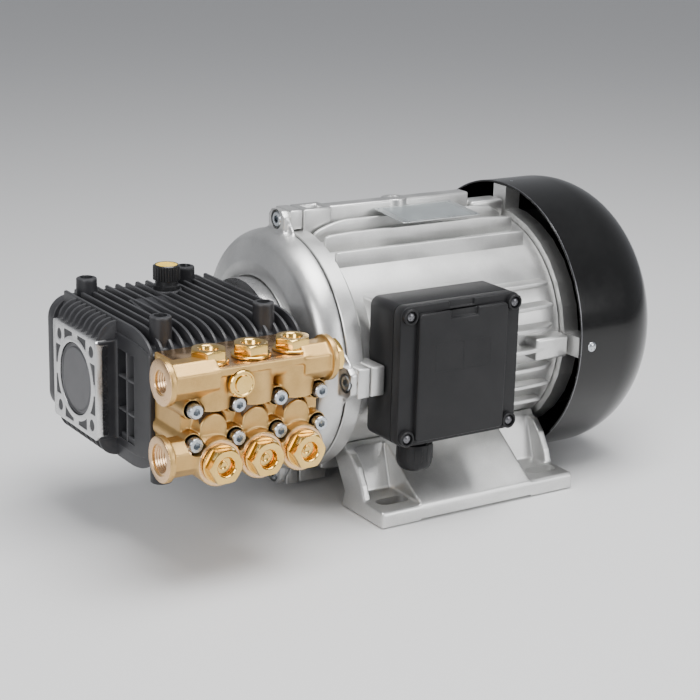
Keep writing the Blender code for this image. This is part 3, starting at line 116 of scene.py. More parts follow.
def rod(start, end, radius, end_radius=None, sides=48, turn=0.0):
    """A cylinder, prism or cone from one point to another."""
    start, end = Vector(start), Vector(end)
    run = end - start
    aim = run.to_track_quat("Z", "Y").to_matrix().to_4x4() @ Matrix.Rotation(turn, 4, "Z")
    cage = bmesh.new()
    bmesh.ops.create_cone(
        cage, cap_ends=True, segments=sides, radius1=radius,
        radius2=radius if end_radius is None else end_radius, depth=run.length,
        matrix=Matrix.Translation((start + end) / 2) @ aim,
    )
    return from_cage(cage)


def along_x(start, end, spot, radius, **form):
    """A rod along x at a (y, z) spot."""
    return rod((start, *spot), (end, *spot), radius, **form)


def along_y(start, end, spot, radius, **form):
    """A rod along y at an (x, z) spot."""
    return rod((spot[0], start, spot[1]), (spot[0], end, spot[1]), radius, **form)


def along_z(start, end, spot, radius, **form):
    """A rod along z at an (x, y) spot."""
    return rod((*spot, start), (*spot, end), radius, **form)


def evaluated(shape):
    """The mesh that a shape's modifiers or curve settings make."""
    view = bpy.context.evaluated_depsgraph_get()
    return bpy.data.meshes.new_from_object(shape.evaluated_get(view))


def apply(shape):
    """Makes a shape's modifiers part of its mesh."""
    result = evaluated(shape)
    shape.modifiers.clear()
    shape.data = result
    return shape


def spun(profile, start, direction, sides=96):
    """A turned body: (along, radius) points carried round a line from start along direction."""
    direction = Vector(direction).normalized()
    aim = direction.to_track_quat("Z", "Y").to_matrix().to_4x4()
    cage = bmesh.new()
    rings = []
    for along, radius in profile:
        if radius < 1e-9:
            rings.append([cage.verts.new((0.0, 0.0, along))])
        else:
            rings.append([
                cage.verts.new((radius * math.cos(2 * math.pi * k / sides),
                                radius * math.sin(2 * math.pi * k / sides), along))
                for k in range(sides)
            ])
    open_profile = profile[0][1] < 1e-9 and profile[-1][1] < 1e-9
    pairs = list(zip(rings, rings[1:] if open_profile else rings[1:] + rings[:1]))
    for first, second in pairs:
        for k in range(sides):
            n = (k + 1) % sides
            corners = [first[k % len(first)], first[n % len(first)],
                       second[n % len(second)], second[k % len(second)]]
            unique = list(dict.fromkeys(corners))
            if len(unique) > 2:
                cage.faces.new(unique)
    bmesh.ops.transform(cage, matrix=Matrix.Translation(Vector(start)) @ aim, verts=cage.verts)
    return from_cage(cage)


def turned(profile, sides=128):
    """A body turned about the shaft axis, from (x, radius) points."""
    return spun(profile, (0.0, 0.0, axis_height), (1.0, 0.0, 0.0), sides)


def flat(outlines, axis, low, high):
    """A flat outline with any holes, given thickness: (y, z) for axis X, (x, z) for Y, (x, y) for Z."""
    drawing = bpy.data.curves.new("outline", "CURVE")
    drawing.dimensions = "2D"
    drawing.fill_mode = "BOTH"
    drawing.extrude = abs(high - low) / 2
    for outline in outlines:
        line = drawing.splines.new("POLY")
        line.points.add(len(outline) - 1)
        for point, (across, up) in zip(line.points, outline):
            point.co = (across, up, 0.0, 1.0)
        line.use_cyclic_u = True
    shape = bpy.data.objects.new("outline", drawing)
    bench.objects.link(shape)
    cage = bmesh.new()
    cage.from_mesh(evaluated(shape))
    bpy.data.objects.remove(shape)
    middle = (low + high) / 2
    lay = {
        "X": Matrix(((0, 0, 1, middle), (1, 0, 0, 0), (0, 1, 0, 0), (0, 0, 0, 1))),
        "Y": Matrix(((1, 0, 0, 0), (0, 0, -1, middle), (0, 1, 0, 0), (0, 0, 0, 1))),
        "Z": Matrix(((1, 0, 0, 0), (0, 1, 0, 0), (0, 0, 1, middle), (0, 0, 0, 1))),
    }[axis]
    bmesh.ops.transform(cage, matrix=lay, verts=cage.verts)
    bmesh.ops.remove_doubles(cage, verts=cage.verts, dist=0.000001)
    bmesh.ops.dissolve_limit(cage, angle_limit=0.001, verts=cage.verts, edges=cage.edges)
    return from_cage(cage)


def combine(base, others, operation):
    """Applies one Boolean after another and removes the tools."""
    for other in others:
        step = base.modifiers.new("step", "BOOLEAN")
        step.operation = operation
        step.solver = "MANIFOLD"
        step.object = other
        apply(base)
        bpy.data.objects.remove(other)
    return base


def cut(base, *others):
    """Takes the others away from the base."""
    return combine(base, others, "DIFFERENCE")


def common(base, *others):
    """Leaves what the base shares with the others."""
    return combine(base, others, "INTERSECT")


def gathered(*shapes):
    """Several shapes as one mesh, not merged."""
    cage = bmesh.new()
    for shape in shapes:
        cage.from_mesh(shape.data)
        bpy.data.objects.remove(shape)
    mesh = bpy.data.meshes.new("shape")
    cage.to_mesh(mesh)
    cage.free()
    shape = bpy.data.objects.new("shape", mesh)
    bench.objects.link(shape)
    return shape


def cast(shape, size, passes):
    """Merges overlapping shapes into one skin and rounds its edges, as a casting has them."""
    remesh = shape.modifiers.new("merge", "REMESH")
    remesh.mode = "VOXEL"
    remesh.voxel_size = size
    smooth = shape.modifiers.new("round", "SMOOTH")
    smooth.factor = 0.5
    smooth.iterations = passes
    return apply(shape)


def eased(shape, width=0.0005, segments=2):
    """Rounds a machined or moulded shape's sharp edges."""
    bevel = shape.modifiers.new("ease", "BEVEL")
    bevel.width = width
    bevel.segments = segments
    bevel.limit_method = "ANGLE"
    bevel.angle_limit = math.radians(30)
    bevel.use_clamp_overlap = True
    return apply(shape)


def bends(steps, first=1):
    """Angles of a quarter turn in even steps, from step 1 or from step 0."""
    return [math.pi / 2 * k / steps for k in range(first, steps + 1)]


def arc(centre, radius, start, stop, steps):
    """Points on an arc, from one angle to another in degrees."""
    angles = [math.radians(start + (stop - start) * k / steps) for k in range(steps + 1)]
    return [(centre[0] + radius * math.cos(a), centre[1] + radius * math.sin(a)) for a in angles]


def rounded(low, high, radius, steps=6, inset=0.0):
    """A rectangle between two corner points, drawn in by an inset, with round corners."""
    low, high = [value + inset for value in low], [value - inset for value in high]
    corners = (
        ((high[0] - radius, high[1] - radius), 0), ((low[0] + radius, high[1] - radius), 90),
        ((low[0] + radius, low[1] + radius), 180), ((high[0] - radius, low[1] + radius), 270),
    )
    return [point for centre, start in corners for point in arc(centre, radius, start, start + 90, steps)]


def stadium(middle, reach, radius, steps):
    """A slot outline with round ends."""
    across, up = middle
    return (arc((across + reach, up), radius, -90, 90, steps)
            + arc((across - reach, up), radius, 90, 270, steps))


def sided(points, side):
    """Outline points as they are, or mirrored across the shaft for side -1."""
    return [(side * y, z) for y, z in points]


crease = math.radians(32)


def piece(name, looks, nodes, body="machine"):
    cage = bmesh.new()
    mesh = bpy.data.meshes.new(name)
    for index, (finish, shapes) in enumerate(looks.items()):
        mesh.materials.append(finish)
        for shape in shapes:
            shape.data.shade_smooth()
            shape.data.set_sharp_from_angle(angle=crease)
            before = len(cage.faces)
            cage.from_mesh(shape.data)
            cage.faces.ensure_lookup_table()
            for face in cage.faces[before:]:
                face.material_index = index
            bpy.data.objects.remove(shape)
    bmesh.ops.translate(cage, vec=shift, verts=cage.verts)
    cage.to_mesh(mesh)
    cage.free()
    made = bpy.data.objects.new(name, mesh)
    shown.objects.link(made)
    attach(made, body)
    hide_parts(*nodes)


# ---- materials --------------------
def surface(name, dark, light, metallic, rough, spread=0.08, grain=900.0, relief=0.00004, mottle=45.0,
            streak=None, painted_edge_highlight=0.0, coat=0.0, coat_rough=0.05, gleam=0.5):
    """A procedural finish: mottled colour, fine grain in the bump, varied roughness, and a painted highlight
    that lightens sharp edges.
    """
    made = bpy.data.materials.new(name)
    made.use_nodes = True
    tree = made.node_tree
    shader = tree.nodes["Principled BSDF"]

    def feed(node, inputs):
        """Sets a node's inputs: another node's output is linked, anything else is a value."""
        for socket, value in inputs.items():
            if isinstance(value, bpy.types.NodeSocket):
                tree.links.new(value, node.inputs[socket])
            else:
                node.inputs[socket].default_value = value

    def add(kind, inputs, output=None, **settings):
        """A new shader node; its named output comes back."""
        node = tree.nodes.new(kind)
        for setting, value in settings.items():
            setattr(node, setting, value)
        feed(node, inputs)
        return node.outputs[output] if output else node

    place = add("ShaderNodeTexCoord", {}, "Object")
    fine_place = place
    if streak:
        fine_place = add("ShaderNodeMapping", {"Vector": place, "Scale": streak}, "Vector")
    broad = add("ShaderNodeTexNoise", {"Vector": place, "Scale": mottle, "Detail": 5.0,
                                       "Roughness": 0.6}, "Fac")
    fine = add("ShaderNodeTexNoise", {"Vector": fine_place, "Scale": grain, "Detail": 3.0}, "Fac")
    blend = add("ShaderNodeMix", {"Factor": 0.3, "A": broad, "B": fine}, "Result", data_type="FLOAT")
    ramp = add("ShaderNodeValToRGB", {"Fac": blend})
    for element, position, shade in zip(ramp.color_ramp.elements, (0.34, 0.66), (dark, light)):
        element.position = position
        element.color = (*shade, 1.0)
    colour = ramp.outputs["Color"]
    # Painted highlight: sharp edges, found by pointiness, are lightened in the base colour as if light caught
    # them.
    if painted_edge_highlight:
        edge = add("ShaderNodeNewGeometry", {}, "Pointiness")
        highlight_mask = add("ShaderNodeMapRange", {"Value": edge, "From Min": 0.52, "From Max": 0.62,
                                          "To Max": painted_edge_highlight}, "Result")
        highlight_colour = (*[min(1.0, c * 2.4 + 0.12) for c in light], 1.0)
        colour = add("ShaderNodeMix", {"Factor": highlight_mask, "A": colour, "B": highlight_colour}, "Result", data_type="RGBA")
    gloss = add("ShaderNodeMapRange", {"Value": blend, "From Min": 0.3, "From Max": 0.7,
                                       "To Min": max(0.02, rough - spread),
                                       "To Max": rough + spread}, "Result")
    bump = add("ShaderNodeBump", {"Height": fine, "Strength": 1.0, "Distance": relief}, "Normal")
    feed(shader, {"Base Color": colour, "Roughness": gloss, "Normal": bump, "Metallic": metallic,
                  "Specular IOR Level": gleam})
    if coat:
        feed(shader, {"Coat Weight": coat, "Coat Roughness": coat_rough})
    return made


cast_aluminium = surface("cast_aluminium", (0.58, 0.58, 0.57), (0.76, 0.76, 0.75), 0.92, 0.38,
                         grain=1500.0, relief=0.00005, mottle=28.0)
turned_aluminium = surface("turned_aluminium", (0.6, 0.6, 0.6), (0.76, 0.76, 0.76), 0.95, 0.28,
                           grain=900.0, relief=0.00002, streak=(12.0, 1.0, 1.0))
# The black casting gets a painted highlight on its sharp edges.
black_casting = surface("black_casting", (0.016, 0.016, 0.018), (0.028, 0.028, 0.031), 0.0, 0.42,
                        grain=1300.0, relief=0.00005, mottle=60.0, painted_edge_highlight=0.5, gleam=0.35)
cap_casting = surface("cap_casting", (0.1, 0.1, 0.105), (0.15, 0.15, 0.155), 0.5, 0.48,
                      grain=1300.0, relief=0.00003, mottle=50.0)
# The sanded brass gets a fainter painted highlight on its sharp edges.
sanded_brass = surface("sanded_brass", (0.5, 0.3, 0.1), (0.68, 0.44, 0.17), 0.9, 0.38,
                       grain=1800.0, relief=0.00006, mottle=55.0, painted_edge_highlight=0.25)
machined_brass = surface("machined_brass", (0.7, 0.45, 0.24), (0.84, 0.57, 0.33), 1.0, 0.28,
                         grain=1600.0, relief=0.00002, mottle=70.0)
bright_brass = surface("bright_brass", (0.74, 0.47, 0.13), (0.9, 0.61, 0.21), 1.0, 0.17, spread=0.06,
                       grain=1200.0, relief=0.00002, mottle=80.0)
zinc = surface("zinc", (0.44, 0.47, 0.5), (0.62, 0.65, 0.68), 1.0, 0.28, grain=1500.0, relief=0.00002,
               mottle=120.0)
dark_steel = surface("dark_steel", (0.12, 0.12, 0.13), (0.22, 0.22, 0.23), 1.0, 0.38, grain=1500.0,
                     relief=0.00002, mottle=120.0)
steel = surface("steel", (0.48, 0.49, 0.5), (0.6, 0.61, 0.62), 1.0, 0.25, grain=1400.0,
                relief=0.000015, streak=(14.0, 1.0, 1.0))
ceramic = surface("ceramic", (0.82, 0.8, 0.75), (0.9, 0.88, 0.83), 0.0, 0.15, grain=800.0, relief=0.00001)
rubber = surface("rubber", (0.02, 0.02, 0.02), (0.035, 0.035, 0.035), 0.0, 0.62, grain=1500.0)
box_plastic = surface("box_plastic", (0.012, 0.012, 0.013), (0.018, 0.018, 0.019), 0.0, 0.42, spread=0.05,
                      grain=2600.0, relief=0.00003, mottle=40.0, gleam=0.22)
cap_plastic = surface("cap_plastic", (0.014, 0.014, 0.015), (0.022, 0.022, 0.023), 0.0, 0.3, spread=0.05,
                      grain=2200.0, relief=0.00002)
gloss_paint = surface("gloss_paint", (0.003, 0.003, 0.003), (0.006, 0.006, 0.006), 0.0, 0.16, spread=0.04,
                      grain=260.0, relief=0.00001, mottle=20.0, coat=0.25, coat_rough=0.04, gleam=0.3)
yellow = surface("yellow", (0.86, 0.55, 0.05), (0.95, 0.66, 0.1), 0.0, 0.35, grain=1800.0,
                 relief=0.00002, mottle=120.0)
glass = surface("glass", (0.55, 0.5, 0.3), (0.66, 0.6, 0.38), 0.0, 0.08, spread=0.03, grain=500.0,
                relief=0.00001)
laminated = surface("laminated", (0.22, 0.22, 0.23), (0.36, 0.36, 0.37), 0.9, 0.4, grain=800.0,
                    relief=0.00004, streak=(3.0, 0.02, 0.02))
copper = surface("copper", (0.5, 0.2, 0.09), (0.72, 0.34, 0.16), 1.0, 0.3, grain=700.0, relief=0.0001,
                 streak=(0.1, 2.0, 2.0))
plate_metal = surface("plate_metal", (0.55, 0.58, 0.58), (0.68, 0.71, 0.71), 0.9, 0.32, grain=1300.0,
                      relief=0.00002, mottle=90.0)
printed = surface("printed", (0.3, 0.33, 0.34), (0.38, 0.41, 0.42), 0.6, 0.4, grain=1300.0,
                  relief=0.00002)

# ---- sizes --------------------
# In metres, in the building frame. What the frame can give is read from it; the rest is the design's.
plus_x, minus_x, plus_y, minus_y, plus_z = (1, 0, 0), (-1, 0, 0), (0, 1, 0), (0, -1, 0), (0, 0, 1)
cover_low, cover_high = limits("crankcase_rear_cover")
box_low, box_high = limits("terminal_box_base")
cowl_low, cowl_high = limits("fan_cowl")
foot_low, foot_high = limits("rear_foot")
plunger_x = [middle_of(f"plunger_{k}")[0] for k in (1, 2, 3)]
bolt_x = [middle_of(f"head_bolt_{k}")[0] for k in (1, 2, 3, 4)]
pump_x = plunger_x[1]
crankcase_end = limits("crankcase")[0].x
body_left, body_right = -0.154, -0.0342
case_front, case_rear = -0.085, 0.056
deck, fin_top, front_edge, curve_start = 0.041, 0.05, 0.036, -0.052
case_fin_pitch, case_fin_half = 0.0082, 0.0011
boss_spots = [(x, y) for x in (pump_x - 0.04, pump_x + 0.04) for y in (-0.071, 0.0476)]
end_bore = 0.0263
head_back, plate_top = -0.0853, 0.152
head_left, head_right = bolt_x[0] - 0.0045, bolt_x[-1] + 0.0045
head_middle = head_back - 0.038
bolt_rise, bolt_boss_face = 0.0116, -0.1318
bolt_spots = [(x, axis_height + sign * bolt_rise) for sign in (1, -1) for x in bolt_x]
delivery_y, suction_z, suction_face, valve_bore = -0.124, 0.0867, -0.1408, 0.0088
outlet, outlet_bore = (-0.1294, 0.1446), 0.0079
inlet, inlet_bore = (-0.127, 0.0913), 0.01025
port_face, plug_face, plug_bore = -0.168, -0.04045, 0.0056
gauge_spot = (bolt_x[1], axis_height + 0.0272)
joint_radius, wall_radius, spigot_radius = 0.0921, 0.085, 0.0571
ear_reach, ear_half, ear_screw = 0.1075, 0.0115, 0.0995
cowl_radius, grille_radius, cowl_dome = 0.1105, 0.062, 0.05
coarse_voxel, fine_voxel, foot_voxel = 0.00105, 0.00076, 0.0009


def from_axis(rise):
    """A height that is measured from the shaft."""
    return axis_height + rise


def on_axis(y, rise):
    """A point across the shaft as (y, z), its height measured from the shaft."""
    return (y, axis_height + rise)


shaft_line = on_axis(0.0, 0.0)


def turn_about_axis(shape, quarter):
    """Carries a shape made above the shaft round to another quarter."""
    centre = Vector((0.0, 0.0, axis_height))
    turn = Matrix.Rotation(math.radians(90 * quarter), 4, "X")
    shape.data.transform(Matrix.Translation(centre) @ turn @ Matrix.Translation(-centre))
    return shape


def swung(points, turn):
    """Outline points measured from the shaft, turned about it."""
    cosine, sine = math.cos(turn), math.sin(turn)
    return [on_axis(y * cosine - z * sine, y * sine + z * cosine) for y, z in points]


def thread(start, pitch, count, crest, root):
    """Profile points of a screw thread."""
    return [(start + pitch * k, crest if k % 2 else root) for k in range(count)]


def socket_screw(place, direction, radius, length, seat_washer=0.0):
    """A cap screw head with a hexagon socket and a knurled rim; place is its seat."""
    place, direction = Vector(place), Vector(direction).normalized()
    top = place + direction * length
    head = spun([(0.0, 0.0), (0.0, radius), (length * 0.88, radius), (length, radius * 0.9), (length, 0.0)],
                place, direction, 48)
    cut(head, rod(top - direction * length * 0.6, top + direction * 0.002, radius * 0.56, sides=6))
    parts = [head]
    side = direction.orthogonal().normalized()
    ridges = 28
    for k in range(ridges):
        rim = place + Matrix.Rotation(2 * math.pi * k / ridges, 3, direction) @ side * radius * 0.985
        parts.append(rod(rim + direction * length * 0.12, rim + direction * length * 0.84,
                         radius * 0.055, sides=6))
    if seat_washer:
        parts.append(washer(radius * 0.5, radius + seat_washer, 0.0008, place, direction))
    return gathered(*parts)


def washer(bore, radius, thickness, place, direction):
    """A flat ring with eased edges."""
    profile = [(0.0, bore), (0.0, radius), (thickness, radius), (thickness, bore)]
    return eased(spun(profile, place, direction, 48), 0.0002)


def cross_screw(place, direction, radius):
    """A domed screw head with a cross recess."""
    place, direction = Vector(place), Vector(direction).normalized()
    rise = radius * 0.55
    curve = [(rise * math.sin(bend), radius * math.cos(bend)) for bend in bends(6, 0)[:-1]]
    head = spun([(-0.0012, 0.0), (-0.0012, radius)] + curve + [(rise, 0.0)], place, direction, 32)
    side = direction.orthogonal().normalized()
    middle = place + direction * (rise * 0.35 + radius * 0.2)
    for arm in (side, direction.cross(side)):
        cut(head, rod(middle - arm * radius * 0.62, middle + arm * radius * 0.62, radius * 0.16, sides=4))
    return head


# ---- crankcase --------------------
def fin_row(low, high):
    """Middles of the fins that fit between two ends."""
    count = int((high - low - 2 * case_fin_half) / case_fin_pitch) + 1
    first = (low + high) / 2 - case_fin_pitch * (count - 1) / 2
    return [first + case_fin_pitch * k for k in range(count)]


def case_curve(top, front):
    """The case's upper front edge across the shaft, falling from top to front."""
    return [on_axis(curve_start - (curve_start - case_front) * math.sin(bend),
                    top - (top - front) * (1 - math.cos(bend))) for bend in bends(16, 0)]


def case_casting():
    """The rough casting: body, end, bosses, filler, label pad and sump, with its hollows cut."""
    upper = case_curve(deck, front_edge - 0.001)
    lower = [(y, 2 * axis_height - z) for y, z in upper]
    section = [on_axis(case_rear, -deck), on_axis(case_rear, deck)] + upper + lower[::-1]
    body = flat([section], "X", body_left + 0.0005, body_right)
    bosses = [along_z(from_axis(sign * 0.024), from_axis(sign * 0.0598), spot, 0.0082,
                      end_radius=0.0076, sides=32) for spot in boss_spots for sign in (1, -1)]
    filler = along_z(from_axis(0.035), from_axis(fin_top), (pump_x + 0.014, 0.026), 0.0125,
                     end_radius=0.0112, sides=40)
    end = block((crankcase_end + 0.0005, *on_axis(-0.036, -0.0357)),
                (body_left + 0.003, *on_axis(0.037, 0.0357)))
    label_slope = [on_axis(-0.05, 0.043), on_axis(0.012, 0.0495), on_axis(0.012, 0.036),
                   on_axis(-0.05, 0.034)]
    label_pad = flat([label_slope], "X", pump_x - 0.024, pump_x + 0.006)
    sump = common(
        along_x(body_left + 0.012, body_right - 0.012, on_axis(-0.018, -0.03), 0.0195, sides=48),
        block((body_left, *on_axis(-0.06, -fin_top)), (body_right, *on_axis(0.05, 0.0))),
    )
    rough = cast(gathered(body, end, filler, label_pad, sump, *bosses), coarse_voxel, 4)
    tools = [
        block((body_left - 0.01, *on_axis(-0.0615, -0.034)),
              (body_left + 0.0065, *on_axis(-0.0372, 0.03))),
        block((body_left + 0.008, *on_axis(-0.04, -0.034)),
              (body_right - 0.018, *on_axis(case_rear + 0.004, 0.034))),
        along_x(body_right - 0.018, 0.01, shaft_line, 0.0403, sides=96),
        along_x(body_right - 0.02, body_right - 0.01, shaft_line, 0.028, sides=64),
        along_x(crankcase_end - 0.004, body_left + 0.01, shaft_line, end_bore, sides=96),
    ]
    tools += [along_z(from_axis(sign * 0.048), from_axis(sign * 0.064), spot, 0.0047, sides=32)
              for spot in boss_spots for sign in (1, -1)]
    tools += [along_y(case_front - 0.005, -0.038, (x, axis_height), 0.013) for x in plunger_x]
    return cut(rough, *tools)


def case_fins():
    """Fins along the top and the bottom of the body, and on the narrow end."""
    fins = []
    rear = case_rear - 0.0004
    for x in fin_row(body_left, body_right):
        for sign in (1, -1):
            outline = [(y, z if sign > 0 else 2 * axis_height - z)
                       for y, z in case_curve(fin_top, front_edge)]
            outline += [(outline[-1][0] + 0.0006, from_axis(sign * 0.03)), on_axis(rear, sign * 0.03),
                        on_axis(rear, sign * (fin_top - 0.0012)), on_axis(rear - 0.0012, sign * fin_top)]
            fin = flat([outline], "X", x - case_fin_half, x + case_fin_half)
            cut(fin, block((x - 0.01, *on_axis(-0.0395, -0.0335)),
                           (x + 0.01, *on_axis(case_rear - 0.002, 0.0335))))
            fins.append(eased(fin, 0.00045))
    start, stop, foot = crankcase_end + 0.0015, body_left + 0.002, 0.036
    rise = fin_top - 0.001 - foot
    for y in fin_row(-0.036, 0.037):
        for sign in (1, -1):
            curve = [(start, from_axis(sign * 0.0355))]
            curve += [(stop - (stop - start - 0.0015) * math.cos(bend),
                       from_axis(sign * (foot + rise * math.sin(bend)))) for bend in bends(12)]
            curve += [(stop, from_axis(sign * 0.033)), (start, from_axis(sign * 0.033))]
            fins.append(eased(flat([curve], "Y", y - case_fin_half, y + case_fin_half), 0.00045))
    return fins


def pocket_ribs():
    """One upright and two level ribs in the shallow pocket beside the end."""
    spans = (((-0.0505, -0.034), (-0.0487, 0.03)), ((-0.062, 0.01), (-0.037, 0.0116)),
             ((-0.062, -0.014), (-0.037, -0.0124)))
    return [eased(block((body_left + 0.0006, *on_axis(*low)), (body_left + 0.0072, *on_axis(*high))), 0.0004)
            for low, high in spans]


def end_face():
    """The machined end: ring, rim, ribs between eight pockets, and four countersunk holes."""
    near, far, rim, ring = 0.0041, 0.0185, 0.033, 0.0305
    start, hole = crankcase_end - 0.004, 0.0267
    plate = flat([rounded(on_axis(-0.036, -0.036), on_axis(0.037, 0.036), 0.003)], "X",
                 crankcase_end + 0.0001, crankcase_end + 0.0085)
    tools = [along_x(start, crankcase_end + 0.012, shaft_line, end_bore, sides=96)]
    round_side = [(y, math.sqrt(ring ** 2 - y ** 2)) for y in [far + (near - far) * k / 8 for k in range(9)]]
    pocket = [(near, rim), (far, rim)] + round_side
    for quarter in range(4):
        for mirror in (1, -1):
            outline = swung(sided(pocket, mirror), quarter * math.pi / 2)
            tools.append(flat([outline], "X", start, crankcase_end + 0.008))
    for spot in [on_axis(y, z) for y in (hole, -hole) for z in (hole, -hole)]:
        tools.append(along_x(crankcase_end - 0.001, crankcase_end + 0.0085, spot, 0.0033, sides=32))
        tools.append(along_x(crankcase_end - 0.0002, crankcase_end + 0.0014, spot, 0.0047,
                             end_radius=0.0031, sides=32))
    return eased(cut(plate, *tools), 0.0003)


neck = turned([(body_right - 0.002, 0.0405), (body_right - 0.002, spigot_radius - 0.0002),
               (-0.0198, spigot_radius - 0.0002), (-0.0194, spigot_radius - 0.0008), (-0.0194, 0.0405)])
piece("crankcase_look", {black_casting: [case_casting()] + case_fins() + pocket_ribs(),
                         turned_aluminium: [neck, end_face()]}, nodes=("crankcase",))

shaft_end_cap = spun([(0.0009, 0.0), (0.0009, 0.0222), (0.0018, 0.0232), (0.0018, 0.0246), (0.0009, 0.025),
                      (0.0009, 0.0254), (0.0016, 0.02585), (0.0058, 0.02585), (0.0058, 0.0)],
                     (crankcase_end, 0.0, axis_height), plus_x, 128)
piece("shaft_end_cap_look", {cap_casting: [shaft_end_cap]}, nodes=("shaft_end_cap",))

cover_face, sight_radius, sight = 0.0663, 0.0113, (pump_x, axis_height - 0.012)
cover = flat([rounded((cover_low.x, cover_low.z), (cover_high.x, cover_high.z), 0.016, 10)], "Y",
             case_rear + gap, cover_face)
cover = cut(eased(cover, 0.0008, 3), along_y(0.05, 0.075, sight, sight_radius, sides=64))
bezel = eased(spun([(0.0, sight_radius), (0.0, 0.0148), (0.0028, 0.0142), (0.0028, sight_radius)],
                   (sight[0], cover_face - 0.0001, sight[1]), plus_y), 0.0004)
cover_screws = [socket_screw((x, cover_face - 0.0001, z), plus_y, 0.0036, 0.0026)
                for x in (cover_low.x + 0.01, pump_x, cover_high.x - 0.01)
                for z in (cover_low.z + 0.008, cover_high.z - 0.008)]
ribbing = [eased(block((x - 0.0009, cover_face - 0.0008, from_axis(0.006)),
                       (x + 0.0009, cover_face + 0.0015, from_axis(0.03))), 0.0004)
           for x in [pump_x + 0.012 * k for k in range(-3, 4)]]
piece("rear_cover_look", {black_casting: [cover] + ribbing, zinc: [bezel] + cover_screws},
      nodes=("crankcase_rear_cover",))
glass_radius, glass_edge = 0.0109, -0.0008
glass_curve = [(-0.0055, 0.0), (-0.0055, glass_radius), (glass_edge, glass_radius)]
glass_curve += [(glass_edge + 0.0007 * math.sin(bend), glass_radius * math.cos(bend))
                for bend in bends(6)[:-1]]
sight_glass = spun(glass_curve + [(-0.0001, 0.0)], (sight[0], 0.0693, sight[1]), plus_y, 64)
piece("sight_glass_look", {glass: [sight_glass]}, nodes=("oil_sight_glass",))

# ---- oil cap --------------------
cap_x, cap_y = middle_of("oil_cap")[:2]
cap_top = limits("oil_cap")[1].z
cap_base = cap_top - 0.018
grip_radius, grip_count = 0.0092, 30
knob = spun([(0.0, 0.0), (0.0, 0.0098), (0.0026, 0.01), (0.0032, 0.0086), (0.0062, 0.0084),
             (0.0068, grip_radius), (0.0172, grip_radius), (0.018, 0.0084), (0.018, 0.0082),
             (0.0166, 0.008), (0.0166, 0.0)],
            (cap_x, cap_y, cap_base), plus_z)
stem = spun([(0.0, 0.0)] + thread(0.0, 0.0007, 15, 0.0061, 0.0054) + [(0.0098, 0.0)],
            (cap_x, cap_y, cap_base - 0.0098), plus_z, 48)
grips = [along_z(cap_base + 0.0068, cap_base + 0.017,
                 (cap_x + grip_radius * math.cos(a), cap_y + grip_radius * math.sin(a)), 0.0009, sides=10)
         for a in [2 * math.pi * k / grip_count for k in range(grip_count)]]
piece("oil_cap_look", {cap_plastic: [knob, stem] + grips},
      body="oil_filler_cap", nodes=("oil_cap",))
disc = spun([(-0.0012, 0.0), (-0.0012, 0.0079), (-0.0003, 0.0079), (-0.0001, 0.0074), (-0.0001, 0.0062),
             (-0.0005, 0.006), (-0.0005, 0.0)], (cap_x, cap_y, cap_top), plus_z, 64)
piece("oil_cap_disc_look", {yellow: [disc]},
      body="oil_filler_cap", nodes=("oil_cap_disc",))


# ---- pump head --------------------
def head_plate(inset, radius, back, steps):
    """The top plate from above: straight behind, round at the outer valves in front."""
    left, right, shoulder = head_left + inset, head_right - inset, delivery_y + 0.01
    return ([(left, back), (left, shoulder)]
            + arc((plunger_x[0], delivery_y), radius, 180, 270, steps)
            + arc((plunger_x[-1], delivery_y), radius, 270, 360, steps)
            + [(right, shoulder), (right, back)])


def head_casting():
    """The rough brass forging, with its bores cut."""
    port_radius, neck_radius, flat_up = 0.016, 0.0136, math.pi / 8
    first, last = plunger_x[0], plunger_x[-1]
    shapes = [
        block((head_left, head_middle, from_axis(-0.0325)),
              (head_right, head_back - 0.0003, plate_top - 0.002)),
        flat([head_plate(0.0, 0.0172, head_back - 0.0003, 12)], "Z", plate_top - 0.006, plate_top - 0.0004),
    ]
    for x in plunger_x:
        shapes.append(along_z(from_axis(0.01), plate_top - 0.002, (x, delivery_y), 0.0152, sides=64))
        shapes.append(along_y(head_middle + 0.004, bolt_boss_face, (x, from_axis(-0.004)), 0.0147,
                              end_radius=0.0098, sides=64))
        shapes.append(along_y(head_back - 0.01, suction_face + 0.0004, (x, suction_z), 0.0163, sides=64))
    for spot in bolt_spots:
        shapes.append(along_y(head_back - 0.002, bolt_boss_face, spot, 0.007, sides=32))
    for spot in (outlet, inlet):
        shapes.append(along_x(port_face + 0.0006, port_face + 0.005, spot, port_radius, sides=64))
        shapes.append(along_x(port_face + 0.0035, first, spot, neck_radius, sides=8, turn=flat_up))
    shapes.append(along_x(plug_face - 0.0004, plug_face - 0.0048, outlet, port_radius, sides=64))
    shapes.append(along_x(plug_face - 0.004, last, outlet, neck_radius, sides=8, turn=flat_up))
    shapes.append(along_x(first, last, outlet, 0.0073, sides=32))
    shapes.append(along_x(first, last, inlet, 0.008, sides=32))
    shapes.append(along_y(head_middle, -0.1372, gauge_spot, 0.0104))
    tools = [along_y(-0.1385, -0.15, gauge_spot, 0.0098, sides=64)]
    for x in plunger_x:
        tools.append(along_z(from_axis(0.012), plate_top + 0.01, (x, delivery_y), valve_bore, sides=64))
        tools.append(along_y(suction_face - 0.01, -0.1, (x, suction_z), valve_bore, sides=64))
        tools.append(along_y(head_back + 0.002, head_back - 0.0165, (x, axis_height), 0.013, sides=64))
        tools.append(along_y(head_back + 0.002, head_back - 0.045, (x, axis_height), 0.0097, sides=64))
    for spot, bore in ((outlet, outlet_bore), (inlet, inlet_bore)):
        tools.append(along_x(port_face - 0.002, port_face + 0.02, spot, bore, sides=64))
    tools.append(along_x(plug_face + 0.002, plug_face - 0.014, outlet, plug_bore))
    tools += [along_y(bolt_boss_face + 0.0002, -0.146, spot, 0.0068) for spot in bolt_spots]
    return cut(cast(gathered(*shapes), fine_voxel, 4), *tools)


